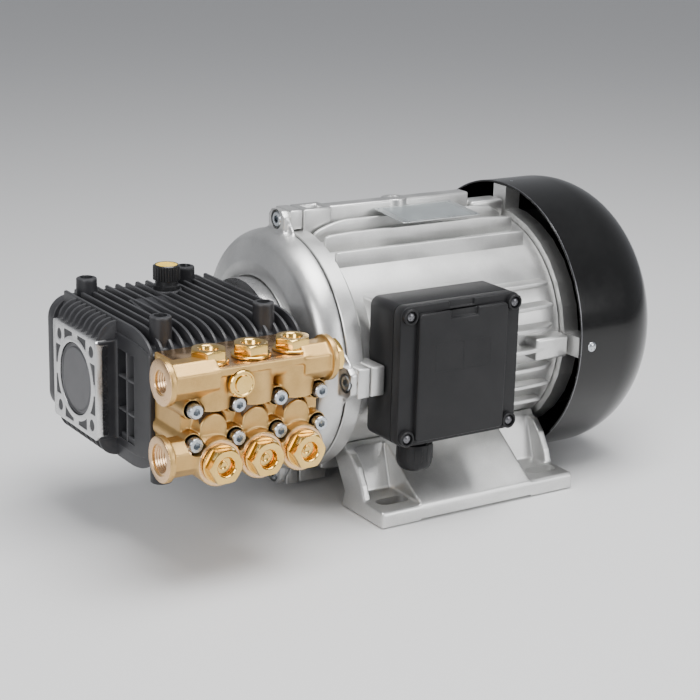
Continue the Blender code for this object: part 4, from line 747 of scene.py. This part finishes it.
def head_faces():
    """What is machined on the head: top plate, threaded ports, plug seat and suction seats."""
    plate = flat([head_plate(0.0015, 0.0157, head_back - 0.002, 16)], "Z",
                 plate_top - 0.0022, plate_top - 0.0001)
    cut(plate, *[along_z(plate_top - 0.008, plate_top + 0.01, (x, delivery_y), valve_bore, sides=64)
                 for x in plunger_x])
    faces = [eased(plate, 0.0003)]
    for spot, bore in ((outlet, outlet_bore), (inlet, inlet_bore)):
        place, deep = (port_face, *spot), 0.0175
        faces.append(spun([(0.0001, bore + 0.0009), (0.0001, 0.015), (0.0004, 0.0155), (0.002, 0.0155),
                           (0.002, bore), (0.001, bore)], place, plus_x))
        faces.append(spun([(0.0012, bore + 0.001)] + thread(0.0012, 0.0009, 18, bore - 0.0001, bore - 0.0009)
                          + [(deep, bore + 0.001)], place, plus_x, 64))
        faces.append(spun([(deep, 0.0), (deep, bore + 0.001), (deep + 0.001, bore + 0.001),
                           (deep + 0.001, 0.0)], place, plus_x, 64))
    faces.append(spun([(-0.0001, plug_bore), (-0.0001, 0.015), (-0.0004, 0.0155), (-0.002, 0.0155),
                       (-0.002, plug_bore)], (plug_face, *outlet), plus_x))
    faces += [spun([(0.0001, valve_bore), (0.0001, 0.0152), (0.0005, 0.0157), (0.0018, 0.0157),
                    (0.0018, valve_bore)], (x, suction_face, suction_z), plus_y) for x in plunger_x]
    return faces


seat_washers = [washer(0.0033, 0.0065, 0.0012, (x, bolt_boss_face + 0.0002, z), plus_y)
                for x, z in bolt_spots]
piece("pump_head_look",
      {sanded_brass: [head_casting()], machined_brass: head_faces(), dark_steel: seat_washers},
      nodes=("pump_head",))


def cap_shape(seat, direction):
    """A hexagon cap: round flange, chamfered hexagon, deep recess with a dimple, thread below."""
    seat, out = Vector(seat), Vector(direction)
    flange = spun([(0.0004, 0.0), (0.0004, 0.0133), (0.0008, 0.0135), (0.0018, 0.0135), (0.0022, 0.013),
                   (0.0022, 0.0)], seat, out)
    prism = rod(seat + out * 0.002, seat + out * 0.0095, 0.01275, sides=6, turn=math.radians(30))
    crown = spun([(0.0, 0.0), (0.0, 0.014), (0.0078, 0.014), (0.0095, 0.0112), (0.0095, 0.0)], seat, out)
    recess = spun([(0.0038, 0.0), (0.0038, 0.0058), (0.0082, 0.0062), (0.0089, 0.0066), (0.011, 0.009),
                   (0.011, 0.0)], seat, out)
    cut(common(prism, crown), recess)
    dimple = spun([(0.003, 0.0), (0.003, 0.003), (0.0044, 0.003), (0.0046, 0.0026), (0.0042, 0.0016),
                   (0.004, 0.0)], seat, out, 48)
    screw = spun([(-0.0069, 0.0)] + thread(-0.0069, 0.0006, 12, 0.0084, 0.0079) + [(0.0006, 0.0)],
                 seat, out, 64)
    return [flange, eased(prism, 0.00025), dimple, screw]


for number, x in enumerate(plunger_x, 1):
    for kind, seat, direction in (("delivery", (x, delivery_y, plate_top), plus_z),
                                  ("suction", (x, suction_face, suction_z), minus_y)):
        node = f"{kind}_valve_cap_{number}"
        piece(f"{node}_look", {bright_brass: cap_shape(seat, direction)}, nodes=(node,))

for number, (x, z) in enumerate(bolt_spots, 1):
    screw = socket_screw((x, -0.1321, z), minus_y, 0.005, 0.006)
    shank = spun([(0.0, 0.0), (0.0002, 0.0029), (0.04, 0.0029), (0.0592, 0.0028), (0.0597, 0.0)],
                 (x, -0.1323, z), plus_y, 24)
    node = f"head_bolt_{number}"
    piece(f"{node}_look", {zinc: [screw, shank]}, nodes=(node,))

plug_place, plug_end = (plug_face, *outlet), 0.0062
plug_head = common(
    along_x(plug_face + 0.0004, plug_face + plug_end, outlet, 0.0124, sides=6),
    spun([(0.0, 0.0), (0.0, 0.0135), (0.0046, 0.0135), (plug_end, 0.0108), (plug_end, 0.0)],
         plug_place, plus_x),
)
cut(plug_head, spun([(0.0036, 0.0), (0.0036, 0.004), (0.008, 0.0048), (0.008, 0.0)], plug_place, plus_x, 48))
plug_screw = spun([(-0.0095, 0.0)] + thread(-0.0095, 0.0006, 16, 0.0052, 0.0048) + [(0.001, 0.0)],
                  plug_place, plus_x, 48)
piece("outlet_plug_look", {bright_brass: [eased(plug_head, 0.00025), plug_screw]},
      nodes=("outlet_plug",))

gauge = spun([(0.0, 0.0), (0.0, 0.0093), (0.0028, 0.0093), (0.0034, 0.0087), (0.0034, 0.0076),
              (0.0028, 0.0072), (0.0028, 0.0)], (gauge_spot[0], -0.1389, gauge_spot[1]), minus_y)
crescent = along_y(-0.1425, -0.1404, (gauge_spot[0] - 0.0012, gauge_spot[1] + 0.0008), 0.0062)
land = along_y(-0.15, -0.139, (gauge_spot[0] + 0.0012, gauge_spot[1] - 0.0006), 0.0058)
cut(gauge, cut(crescent, land))
piece("gauge_plug_look", {bright_brass: [gauge]}, nodes=("gauge_plug",))

# ---- motor bell --------------------
bell_rim, bell_lip = joint_radius - 0.0003, spigot_radius + 0.0006
reach_z, gusset_z = from_axis(ear_reach), from_axis(0.085)
bell_profile = [(-0.0004, bell_rim), (-0.003, bell_rim)]
bell_profile += [(-0.003 - 0.0165 * math.sin(bend) ** 1.2, bell_rim - 0.0101 * (1 - math.cos(bend)) ** 1.15)
                 for bend in bends(10)]
bell_profile += [(-0.0243, joint_radius - 0.0235), (-0.0248, joint_radius - 0.029),
                 (-0.0249, bell_lip + 0.001), (-0.0246, bell_lip), (-0.0192, bell_lip),
                 (-0.0192, 0.0225), (-0.0132, 0.0225),
                 (-0.0132, 0.0313), (0.006, 0.0313), (0.006, 0.037), (-0.0112, 0.0385),
                 (-0.012, joint_radius - 0.026), (-0.006, joint_radius - 0.012),
                 (-0.0004, joint_radius - 0.008)]
ear = [(-ear_half, from_axis(0.084)), (-ear_half, reach_z - 0.0055), (-0.007, reach_z - 0.0006),
       (0.007, reach_z - 0.0006), (ear_half, reach_z - 0.0055), (ear_half, from_axis(0.084))]
gusset = [(-0.023, gusset_z), (-0.0114, reach_z - 0.0075), (0.0114, reach_z - 0.0075), (0.023, gusset_z)]
bell_parts = [turned(bell_profile, 160)]
tongues, bell_screws, screw_seats = [], [], []
for quarter in range(4):
    bell_parts.append(turn_about_axis(flat([ear], "X", -0.0068, -0.0004), quarter))
    bell_parts.append(turn_about_axis(flat([gusset], "X", -0.003, -0.0004), quarter))
    tongue = block((-0.0008, *on_axis(-ear_half + 0.0003, joint_radius + 0.0006)),
                   (0.0097, *on_axis(ear_half - 0.0003, ear_reach - 0.0004)))
    tongues.append(turn_about_axis(eased(tongue, 0.0012, 3), quarter))
for y, z in ((0.0, 1.0), (-1.0, 0.0), (0.0, -1.0), (1.0, 0.0)):
    spot = on_axis(y * ear_screw, z * ear_screw)
    screw_seats.append(along_x(-0.012, 0.0012, spot, 0.0073))
    bell_screws.append(socket_screw((-0.0001, *spot), minus_x, 0.0056, 0.0066, seat_washer=0.0012))
bell = cut(cast(gathered(*bell_parts), coarse_voxel, 4), *screw_seats)
piece("motor_bell_look", {cast_aluminium: [bell] + tongues, zinc: bell_screws},
      nodes=("motor_bell",))


# ---- motor housing --------------------
def housing_barrel():
    """The plain barrel with its thicker joint band."""
    band, wall = joint_radius - 0.0001, wall_radius - 0.0002
    profile = [(0.0006, 0.0784), (0.0006, band - 0.0005), (0.0012, band), (0.0132, band),
               (0.014, band - 0.0007)]
    profile += [(0.014 + 0.005 * math.sin(bend),
                 wall + (joint_radius - 0.0012 - wall_radius) * (1 - math.sin(bend))) for bend in bends(6)]
    return turned(profile + [(0.199, wall), (0.1996, wall - 0.0006), (0.1996, 0.0784)], 160)


def housing_fin(quarter, offset):
    """One cooling fin, tallest in the middle of its quarter and stepped back beside the terminal box."""
    low_tip = 0.0905
    tip = 0.1 - 8.3 * offset ** 2
    root = math.sqrt(wall_radius ** 2 - offset ** 2) - 0.003
    if quarter == 1 and box_low.z - 0.002 < from_axis(offset) < box_high.z + 0.002:
        start = box_high.x + 0.0026
        nose = [(start, root), (start, tip - 0.002), (start + 0.0019, tip - 0.0003)]
    else:
        nose = [(0.0165, root), (0.0168, min(tip, low_tip) - 0.001)]
        for bend in bends(8):
            rise = low_tip + (tip - 0.0003 - low_tip) * math.sin(bend) if tip > low_tip else tip - 0.0004
            nose.append((0.017 + 0.03 * bend / (math.pi / 2), rise))
    tail = [(0.16, tip - 0.0004), (0.178, tip - 0.0018 if tip > 0.092 else tip - 0.0006),
            (0.1885, min(tip, low_tip) - 0.001), (0.1895, root)]
    fin = flat([[(x, from_axis(radius)) for x, radius in nose + tail]], "Y", offset - 0.0016, offset + 0.0016)
    return eased(turn_about_axis(fin, quarter), 0.0009, 3)


aluminium_parts, fastenings = [housing_barrel()], []
for quarter in range(4):
    for k in range(-3, 4):
        if quarter != 2 or abs(k) != 3:
            aluminium_parts.append(housing_fin(quarter, 0.0155 * k))
lug_start = 0.0107
for quarter in range(4):
    beside_box = quarter == 1
    lug_end = lug_start + (0.012 if beside_box else 0.025)
    lug = block((lug_start, *on_axis(-ear_half + 0.0004, 0.081)),
                (lug_end - 0.0006, *on_axis(ear_half - 0.0004, ear_reach - 0.0006)))
    if not beside_box:
        cut(lug, block((lug_start + 0.007, *on_axis(-0.0062, 0.0935)),
                       (lug_end - 0.004, *on_axis(0.0062, 0.12))))
        nut = along_x(lug_start + 0.0068, lug_start + 0.0125, on_axis(0.0, ear_screw), 0.0058, sides=6)
        stud = along_x(lug_start + 0.006, lug_start + 0.0165, on_axis(0.0, ear_screw), 0.0029, sides=24)
        fastenings += [turn_about_axis(eased(nut, 0.0004), quarter), turn_about_axis(stud, quarter)]
    rear_lug = block((0.1666, *on_axis(-0.0086, 0.081)), (0.1976, *on_axis(0.0086, joint_radius + 0.0064)))
    aluminium_parts += [turn_about_axis(eased(lug, 0.0014, 3), quarter),
                        turn_about_axis(eased(rear_lug, 0.0022, 3), quarter)]
eye_spot = (0.098, 0.0)
rail = block((0.034, *on_axis(-0.0066, 0.081)), (0.1646, *on_axis(0.0066, ear_reach - 0.0008)))
eye = eased(along_z(from_axis(0.085), from_axis(ear_reach - 0.0003), eye_spot, 0.01), 0.0012, 3)
cut(eye, along_z(from_axis(0.099), from_axis(0.12), eye_spot, 0.0052))
pad = block((box_low.x + 0.0035, -0.0828, box_low.z + 0.0035),
            (box_high.x - 0.0035, -0.055, box_high.z - 0.0035))
aluminium_parts += [eased(rail, 0.0018, 3), eye, eased(pad, 0.003, 4)]
piece("motor_housing_look", {cast_aluminium: aluminium_parts, zinc: fastenings},
      nodes=("motor_housing",))

# ---- fan cowl --------------------
sheet_step, slot_count = 0.0011, 12
mouth, skin, top = cowl_low.x, cowl_radius - 0.0002, cowl_high.x - 0.0002
shoulder = cowl_high.x - cowl_dome
outside = [(mouth + 0.0002, cowl_radius - 0.0014), (mouth + 0.0002, cowl_radius - 0.0005),
           (mouth + 0.0006, skin), (shoulder, skin)]
outside += [(shoulder + (top - shoulder) * math.sin(bend),
             grille_radius + (skin - grille_radius) * math.cos(bend)) for bend in bends(20)]
inside = [(x - sheet_step, r - sheet_step) for x, r in outside[4:]][::-1] + [(shoulder, cowl_radius - 0.0014)]
cowl = turned([(top - sheet_step, 0.0)] + inside + outside + [(top, 0.0)], 160)
cut(cowl, *[flat([swung(stadium((0.037, 0.0), 0.0145, 0.0044, 10), 2 * math.pi * k / slot_count)], "X",
                 cowl_high.x - 0.006, cowl_high.x + 0.004) for k in range(slot_count)])
bead = turned([(mouth + 0.0004, cowl_radius - 0.0006), (mouth + 0.0004, cowl_radius - 0.00005),
               (mouth + 0.0013, cowl_radius - 0.00005), (mouth + 0.0013, cowl_radius - 0.0006)], 160)
cowl_screws = []
for angle in (0, 90, 180, 270):
    out = Vector((0.0, math.cos(math.radians(angle)), math.sin(math.radians(angle))))
    proud = 0.0 if angle == 90 else 0.0014
    place = Vector((mouth + 0.0115, 0.0, axis_height)) + out * (cowl_radius - 0.0024 + proud)
    cowl_screws.append(cross_screw(place, out, 0.0042))
piece("fan_cowl_look", {gloss_paint: [cowl], dark_steel: [bead], zinc: cowl_screws},
      nodes=("fan_cowl",))


# ---- feet --------------------
def foot_piece(side):
    """A foot on one side: saddle, sloping web, stiffening ends and two slotted bolt rims."""
    saddle, top, half, rib = wall_radius + 0.0002, 0.0616, 0.1137, 0.0062
    start, stop = foot_low.x + 0.0004, foot_high.x - 0.0004
    wedge_start, wedge_stop = 0.0543, 0.1574
    section = [(half - 0.0004, 0.0004), (half - 0.0004, 0.0092), (half - 0.0014, 0.0118),
               (half - 0.0034, 0.0128), (0.0717, 0.0128), (top - 0.0002, 0.0463)]
    section += [on_axis(y, -math.sqrt(saddle ** 2 - y ** 2))
                for y in (0.0586, 0.0556, 0.0526, 0.0486, 0.0446)]
    section += [(0.0607, 0.0128), (0.0567, 0.0004)]
    body = flat([sided(section, side)], "X", start, stop)
    notch_y = side * 0.0455
    cut(body, block((foot_low.x + 0.02, notch_y - 0.012, 0.02), (foot_low.x + 0.032, notch_y + 0.012, 0.05)))
    slope = [(half - 0.0016, 0.0034), (half - 0.0016, 0.0126), (0.0656, 0.0459), (0.0606, 0.0459),
             (0.0636, 0.012)]
    wedge = flat([sided(slope, side)], "X", wedge_start, wedge_stop)
    web = [(0.061, 0.012), (0.0625, 0.0455), (0.068, 0.044), (0.076, 0.036),
           (0.084, 0.023), (0.088, 0.012)]
    webs = [flat([sided(web, side)], "X", low, high)
            for low, high in ((start, start + rib), (stop - rib, stop))]
    bolt_slots = [(x, side * 0.095) for x in (0.04, 0.18)]
    rims = [flat([stadium(spot, 0.007, 0.0098, 16)], "Z", 0.006, 0.01315) for spot in bolt_slots]
    body = cast(gathered(body, wedge, *webs, *rims), foot_voxel, 4)
    hollow = [(0.1017, -0.004), (0.1017, 0.007), (0.0736, 0.033), (0.0736, -0.004)]
    tools = [block((wedge_start, -0.2, -0.01), (wedge_stop, 0.2, 0.0021)),
             flat([sided(hollow, side)], "X", wedge_start + 0.006, wedge_stop - 0.006)]
    tools += [flat([stadium(spot, 0.007, 0.0061, 16)], "Z", -0.004, 0.02) for spot in bolt_slots]
    return cut(body, *tools)


for node, side in (("front_foot", -1), ("rear_foot", 1)):
    piece(f"{node}_look", {cast_aluminium: [foot_piece(side)]}, nodes=(node,))

# ---- terminal box --------------------
low, high = (box_low.x + 0.0002, box_low.z + 0.0002), (box_high.x - 0.0002, box_high.z - 0.0002)
middle = (low[0] + high[0]) / 2
corner, inner_corner, box_wall = 0.0068, 0.0042, 0.0026
lid_face, crown_face = -0.1225, -0.1269
box_shell = flat([rounded(low, high, corner, 8), rounded(low, high, inner_corner, 8, box_wall)[::-1]],
                 "Y", -0.1128, -0.0833)
box_floor = flat([rounded(low, high, corner, 8, 0.0004)], "Y", -0.086, -0.0832)
cut(box_floor, along_y(-0.08, -0.09, (0.07625, 0.11675), 0.0118, sides=64))
cut(box_shell, along_z(0.06, 0.07, (0.056, -0.099), 0.0083, sides=64))
piece("terminal_box_base_look", {box_plastic: [eased(box_shell), eased(box_floor)]},
      nodes=("terminal_box_base",))

lid = flat([rounded(low, high, corner, 8)], "Y", lid_face, -0.1132)
cut(lid, flat([rounded(low, high, inner_corner, 8, box_wall)], "Y", -0.1197, -0.11),
    block((middle - 0.011, -0.13, high[1] - 0.0045), (middle + 0.011, lid_face + 0.002, high[1] + 0.01)))
crown = flat([rounded((low[0] + 0.0135, low[1] + 0.0035), (high[0] - 0.0135, high[1] - 0.0055), 0.0035, 8)],
             "Y", crown_face, lid_face + 0.001)
cut(crown, block((middle - 0.012, -0.13, high[1] - 0.0115), (middle + 0.012, lid_face - 0.0012, high[1])))
lid_parts, lid_screws = [eased(lid, 0.0011, 3), eased(crown, 0.0012, 3)], []
for x in (low[0] + corner, high[0] - corner):
    for z in (low[1] + corner, high[1] - corner):
        lid_parts.append(spun([(0.0, 0.0), (0.0, 0.006), (0.0034, 0.006), (0.004, 0.0054), (0.004, 0.0044),
                               (0.0018, 0.0044), (0.0018, 0.0)], (x, lid_face + 0.0004, z), minus_y, 48))
        lid_screws.append(cross_screw((x, lid_face - 0.0016, z), minus_y, 0.0036))
line_face, line_back = crown_face - 0.00008, crown_face + 0.0009
cell_low, cell_high = (0.052, 0.118), (0.101, 0.14)
cell_middle = (cell_low[0] + cell_high[0]) / 2
lid_parts.append(flat([rounded(cell_low, cell_high, 0.0015, 4),
                       rounded(cell_low, cell_high, 0.0008, 4, 0.0008)[::-1]],
                      "Y", line_face, line_back))
lid_parts.append(block((cell_middle - 0.0003, line_face, cell_low[1]),
                       (cell_middle + 0.0003, line_back, cell_high[1])))
piece("terminal_box_lid_look", {box_plastic: lid_parts, dark_steel: lid_screws},
      nodes=("terminal_box_lid",))

# ---- cable gland --------------------
nut_low, nut_high = limits("cable_gland_nut")
gland_x, gland_y = middle_of("cable_gland_nut")[:2]
gland_bore, ring_radius, groove_radius, ring_pitch = 0.0053, 0.0092, 0.0082, 0.0026
collar = eased(along_z(box_low.z - 0.0033, box_low.z - 0.0005, (gland_x, gland_y), 0.0123, sides=6), 0.0004)
cut(collar, along_z(0.0, 0.1, (gland_x, gland_y), 0.006))
ring_profile = [(0.0, gland_bore), (0.0, ring_radius)]
for k in range(7):
    ring_profile += [(ring_pitch * k + 0.0006, ring_radius), (ring_pitch * k + 0.001, groove_radius),
                     (ring_pitch * k + 0.002, groove_radius), (ring_pitch * k + 0.0024, ring_radius)]
ring_profile += [(0.0188, ring_radius), (0.0188, gland_bore)]
gland_start = limits("cable_gland_body")[0].z + 0.0001
gland_rings = spun(ring_profile, (gland_x, gland_y, gland_start), plus_z, 64)
gland_thread = spun([(0.0, gland_bore)] + thread(0.0, 0.0006, 15, 0.0079, 0.0074) + [(0.0088, gland_bore)],
                    (gland_x, gland_y, box_low.z - 0.0006), plus_z, 64)
piece("cable_gland_body_look", {box_plastic: [collar, gland_rings, gland_thread]},
      nodes=("cable_gland_body",))

height, bowl, rib_count = nut_high.z - nut_low.z, 0.0075, 8
nut_curve = [(height - 0.0002, 0.01), (height - 0.0002, 0.0128), (height - 0.0012, 0.0132), (bowl, 0.0132)]
nut_curve += [(bowl - 0.0073 * math.sin(bend), 0.0072 + 0.006 * math.cos(bend)) for bend in bends(8)]
nut_curve += [(0.0002, gland_bore), (0.005, gland_bore), (0.005, 0.01)]
nut_parts = [spun(nut_curve, (gland_x, gland_y, nut_low.z), plus_z)]
for k in range(rib_count):
    turn = 2 * math.pi * (k + 0.5) / rib_count
    place = Vector((gland_x + 0.0126 * math.cos(turn), gland_y + 0.0126 * math.sin(turn), nut_low.z + 0.0135))
    rib = eased(block((-0.0004, -0.003, -0.0055), (0.0007, 0.003, 0.0055)), 0.0004)
    rib.data.transform(Matrix.Translation(place) @ Matrix.Rotation(turn, 4, "Z"))
    nut_parts.append(rib)
piece("cable_gland_nut_look", {box_plastic: nut_parts}, nodes=("cable_gland_nut",))

# ---- nameplate --------------------
plate_low, plate_high = limits("nameplate")
tilt = Matrix.Translation((plate_low + plate_high) / 2) @ Matrix.Rotation(0.085, 4, "X")
sheet = flat([rounded((-0.0358, -0.0203), (0.0358, 0.0203), 0.002, 6)], "Z", -0.00038, 0.0002)
sheet = eased(sheet, 0.0001, 1)
field = flat([rounded((-0.03, -0.017), (0.03, 0.017), 0.001, 4)], "Z", 0.0, 0.00028)
rivets = [spun([(0.0, 0.0), (0.0, 0.0013), (0.00016, 0.0009), (0.0002, 0.0)], (x, y, 0.00018), plus_z, 24)
          for x in (-0.0328, 0.0328) for y in (-0.0172, 0.0172)]
for shape in [sheet, field] + rivets:
    shape.data.transform(tilt)
piece("nameplate_look", {plate_metal: [sheet], printed: [field], zinc: rivets},
      nodes=("nameplate",))

# ---- pieces that show as they are --------------------
finishes = {"steel": steel, "ceramic": ceramic, "black_rubber": rubber, "electrical_steel": laminated,
            "copper": copper, "cast_aluminium": cast_aluminium, "black_plastic": cap_plastic,
            "yellow_plastic": yellow}
for node, shape in frame["nodes"].items():
    if shape.data.materials:
        slot = shape.data.materials[0].name.split(".")[0]
        if slot in finishes:
            shape.data.materials[0] = finishes[slot]

# ---- setting --------------------
for left_over in list(bench.objects):
    bpy.data.objects.remove(left_over)
bpy.data.collections.remove(bench)

reach = 6
floor_mesh = bpy.data.meshes.new("floor")
floor_mesh.from_pydata([(-reach, -reach, 0), (reach, -reach, 0), (reach, reach, 0), (-reach, reach, 0)],
                       [], [(0, 1, 2, 3)])
floor_finish = bpy.data.materials.new("floor_finish")
floor_finish.use_nodes = True
floor_shader = floor_finish.node_tree.nodes["Principled BSDF"]
floor_shader.inputs["Base Color"].default_value = (0.78, 0.78, 0.78, 1.0)
floor_shader.inputs["Roughness"].default_value = 0.6
floor_mesh.materials.append(floor_finish)
ground = bpy.data.objects.new("ground", floor_mesh)
ground.location = (0.0, 0.0, -0.0004)
bpy.context.scene.collection.objects.link(ground)

world = bpy.data.worlds.new("studio")
world.use_nodes = True
sky = world.node_tree.nodes["Background"]
sky.inputs["Color"].default_value = (0.93, 0.95, 1.0, 1.0)
sky.inputs["Strength"].default_value = 0.36
bpy.context.scene.world = world


def lamp(name, place, aim, size, power):
    """A rectangular studio lamp that points at a place."""
    light = bpy.data.lights.new(name, "AREA")
    light.shape = "RECTANGLE"
    light.size, light.size_y = size
    light.energy = power
    holder = bpy.data.objects.new(name, light)
    holder.location = place
    holder.rotation_euler = (Vector(aim) - Vector(place)).to_track_quat("-Z", "Y").to_euler()
    bpy.context.scene.collection.objects.link(holder)


lamp("overhead", (0.1, -0.3, 1.5), (0.0, 0.0, 0.1), (1.2, 0.9), 34)
lamp("left", (-1.5, -0.9, 0.8), (0.0, 0.0, 0.12), (0.8, 0.8), 18)
lamp("front", (0.9, -1.6, 0.7), (0.0, 0.0, 0.12), (0.7, 0.7), 11)

azimuth, elevation, roll = math.radians(-33.09), math.radians(16.31), math.radians(-1.5)
camera_place = (-0.7192, -1.08125, 0.4864)
back = Vector((math.sin(azimuth) * math.cos(elevation), -math.cos(azimuth) * math.cos(elevation),
               math.sin(elevation)))
right = Vector((math.cos(azimuth), math.sin(azimuth), 0.0))
up = back.cross(right)
across = right * math.cos(roll) - up * math.sin(roll)
upward = right * math.sin(roll) + up * math.cos(roll)
camera_data = bpy.data.cameras.new("camera")
camera_data.sensor_width = 36.0
camera_data.lens = 90.665
camera_data.shift_x = 0.00196
camera_data.shift_y = -0.00133
camera = bpy.data.objects.new("camera", camera_data)
camera.matrix_world = Matrix((
    (across.x, upward.x, back.x, camera_place[0]),
    (across.y, upward.y, back.y, camera_place[1]),
    (across.z, upward.z, back.z, camera_place[2]),
    (0.0, 0.0, 0.0, 1.0),
))
bpy.context.scene.collection.objects.link(camera)
bpy.context.scene.camera = camera
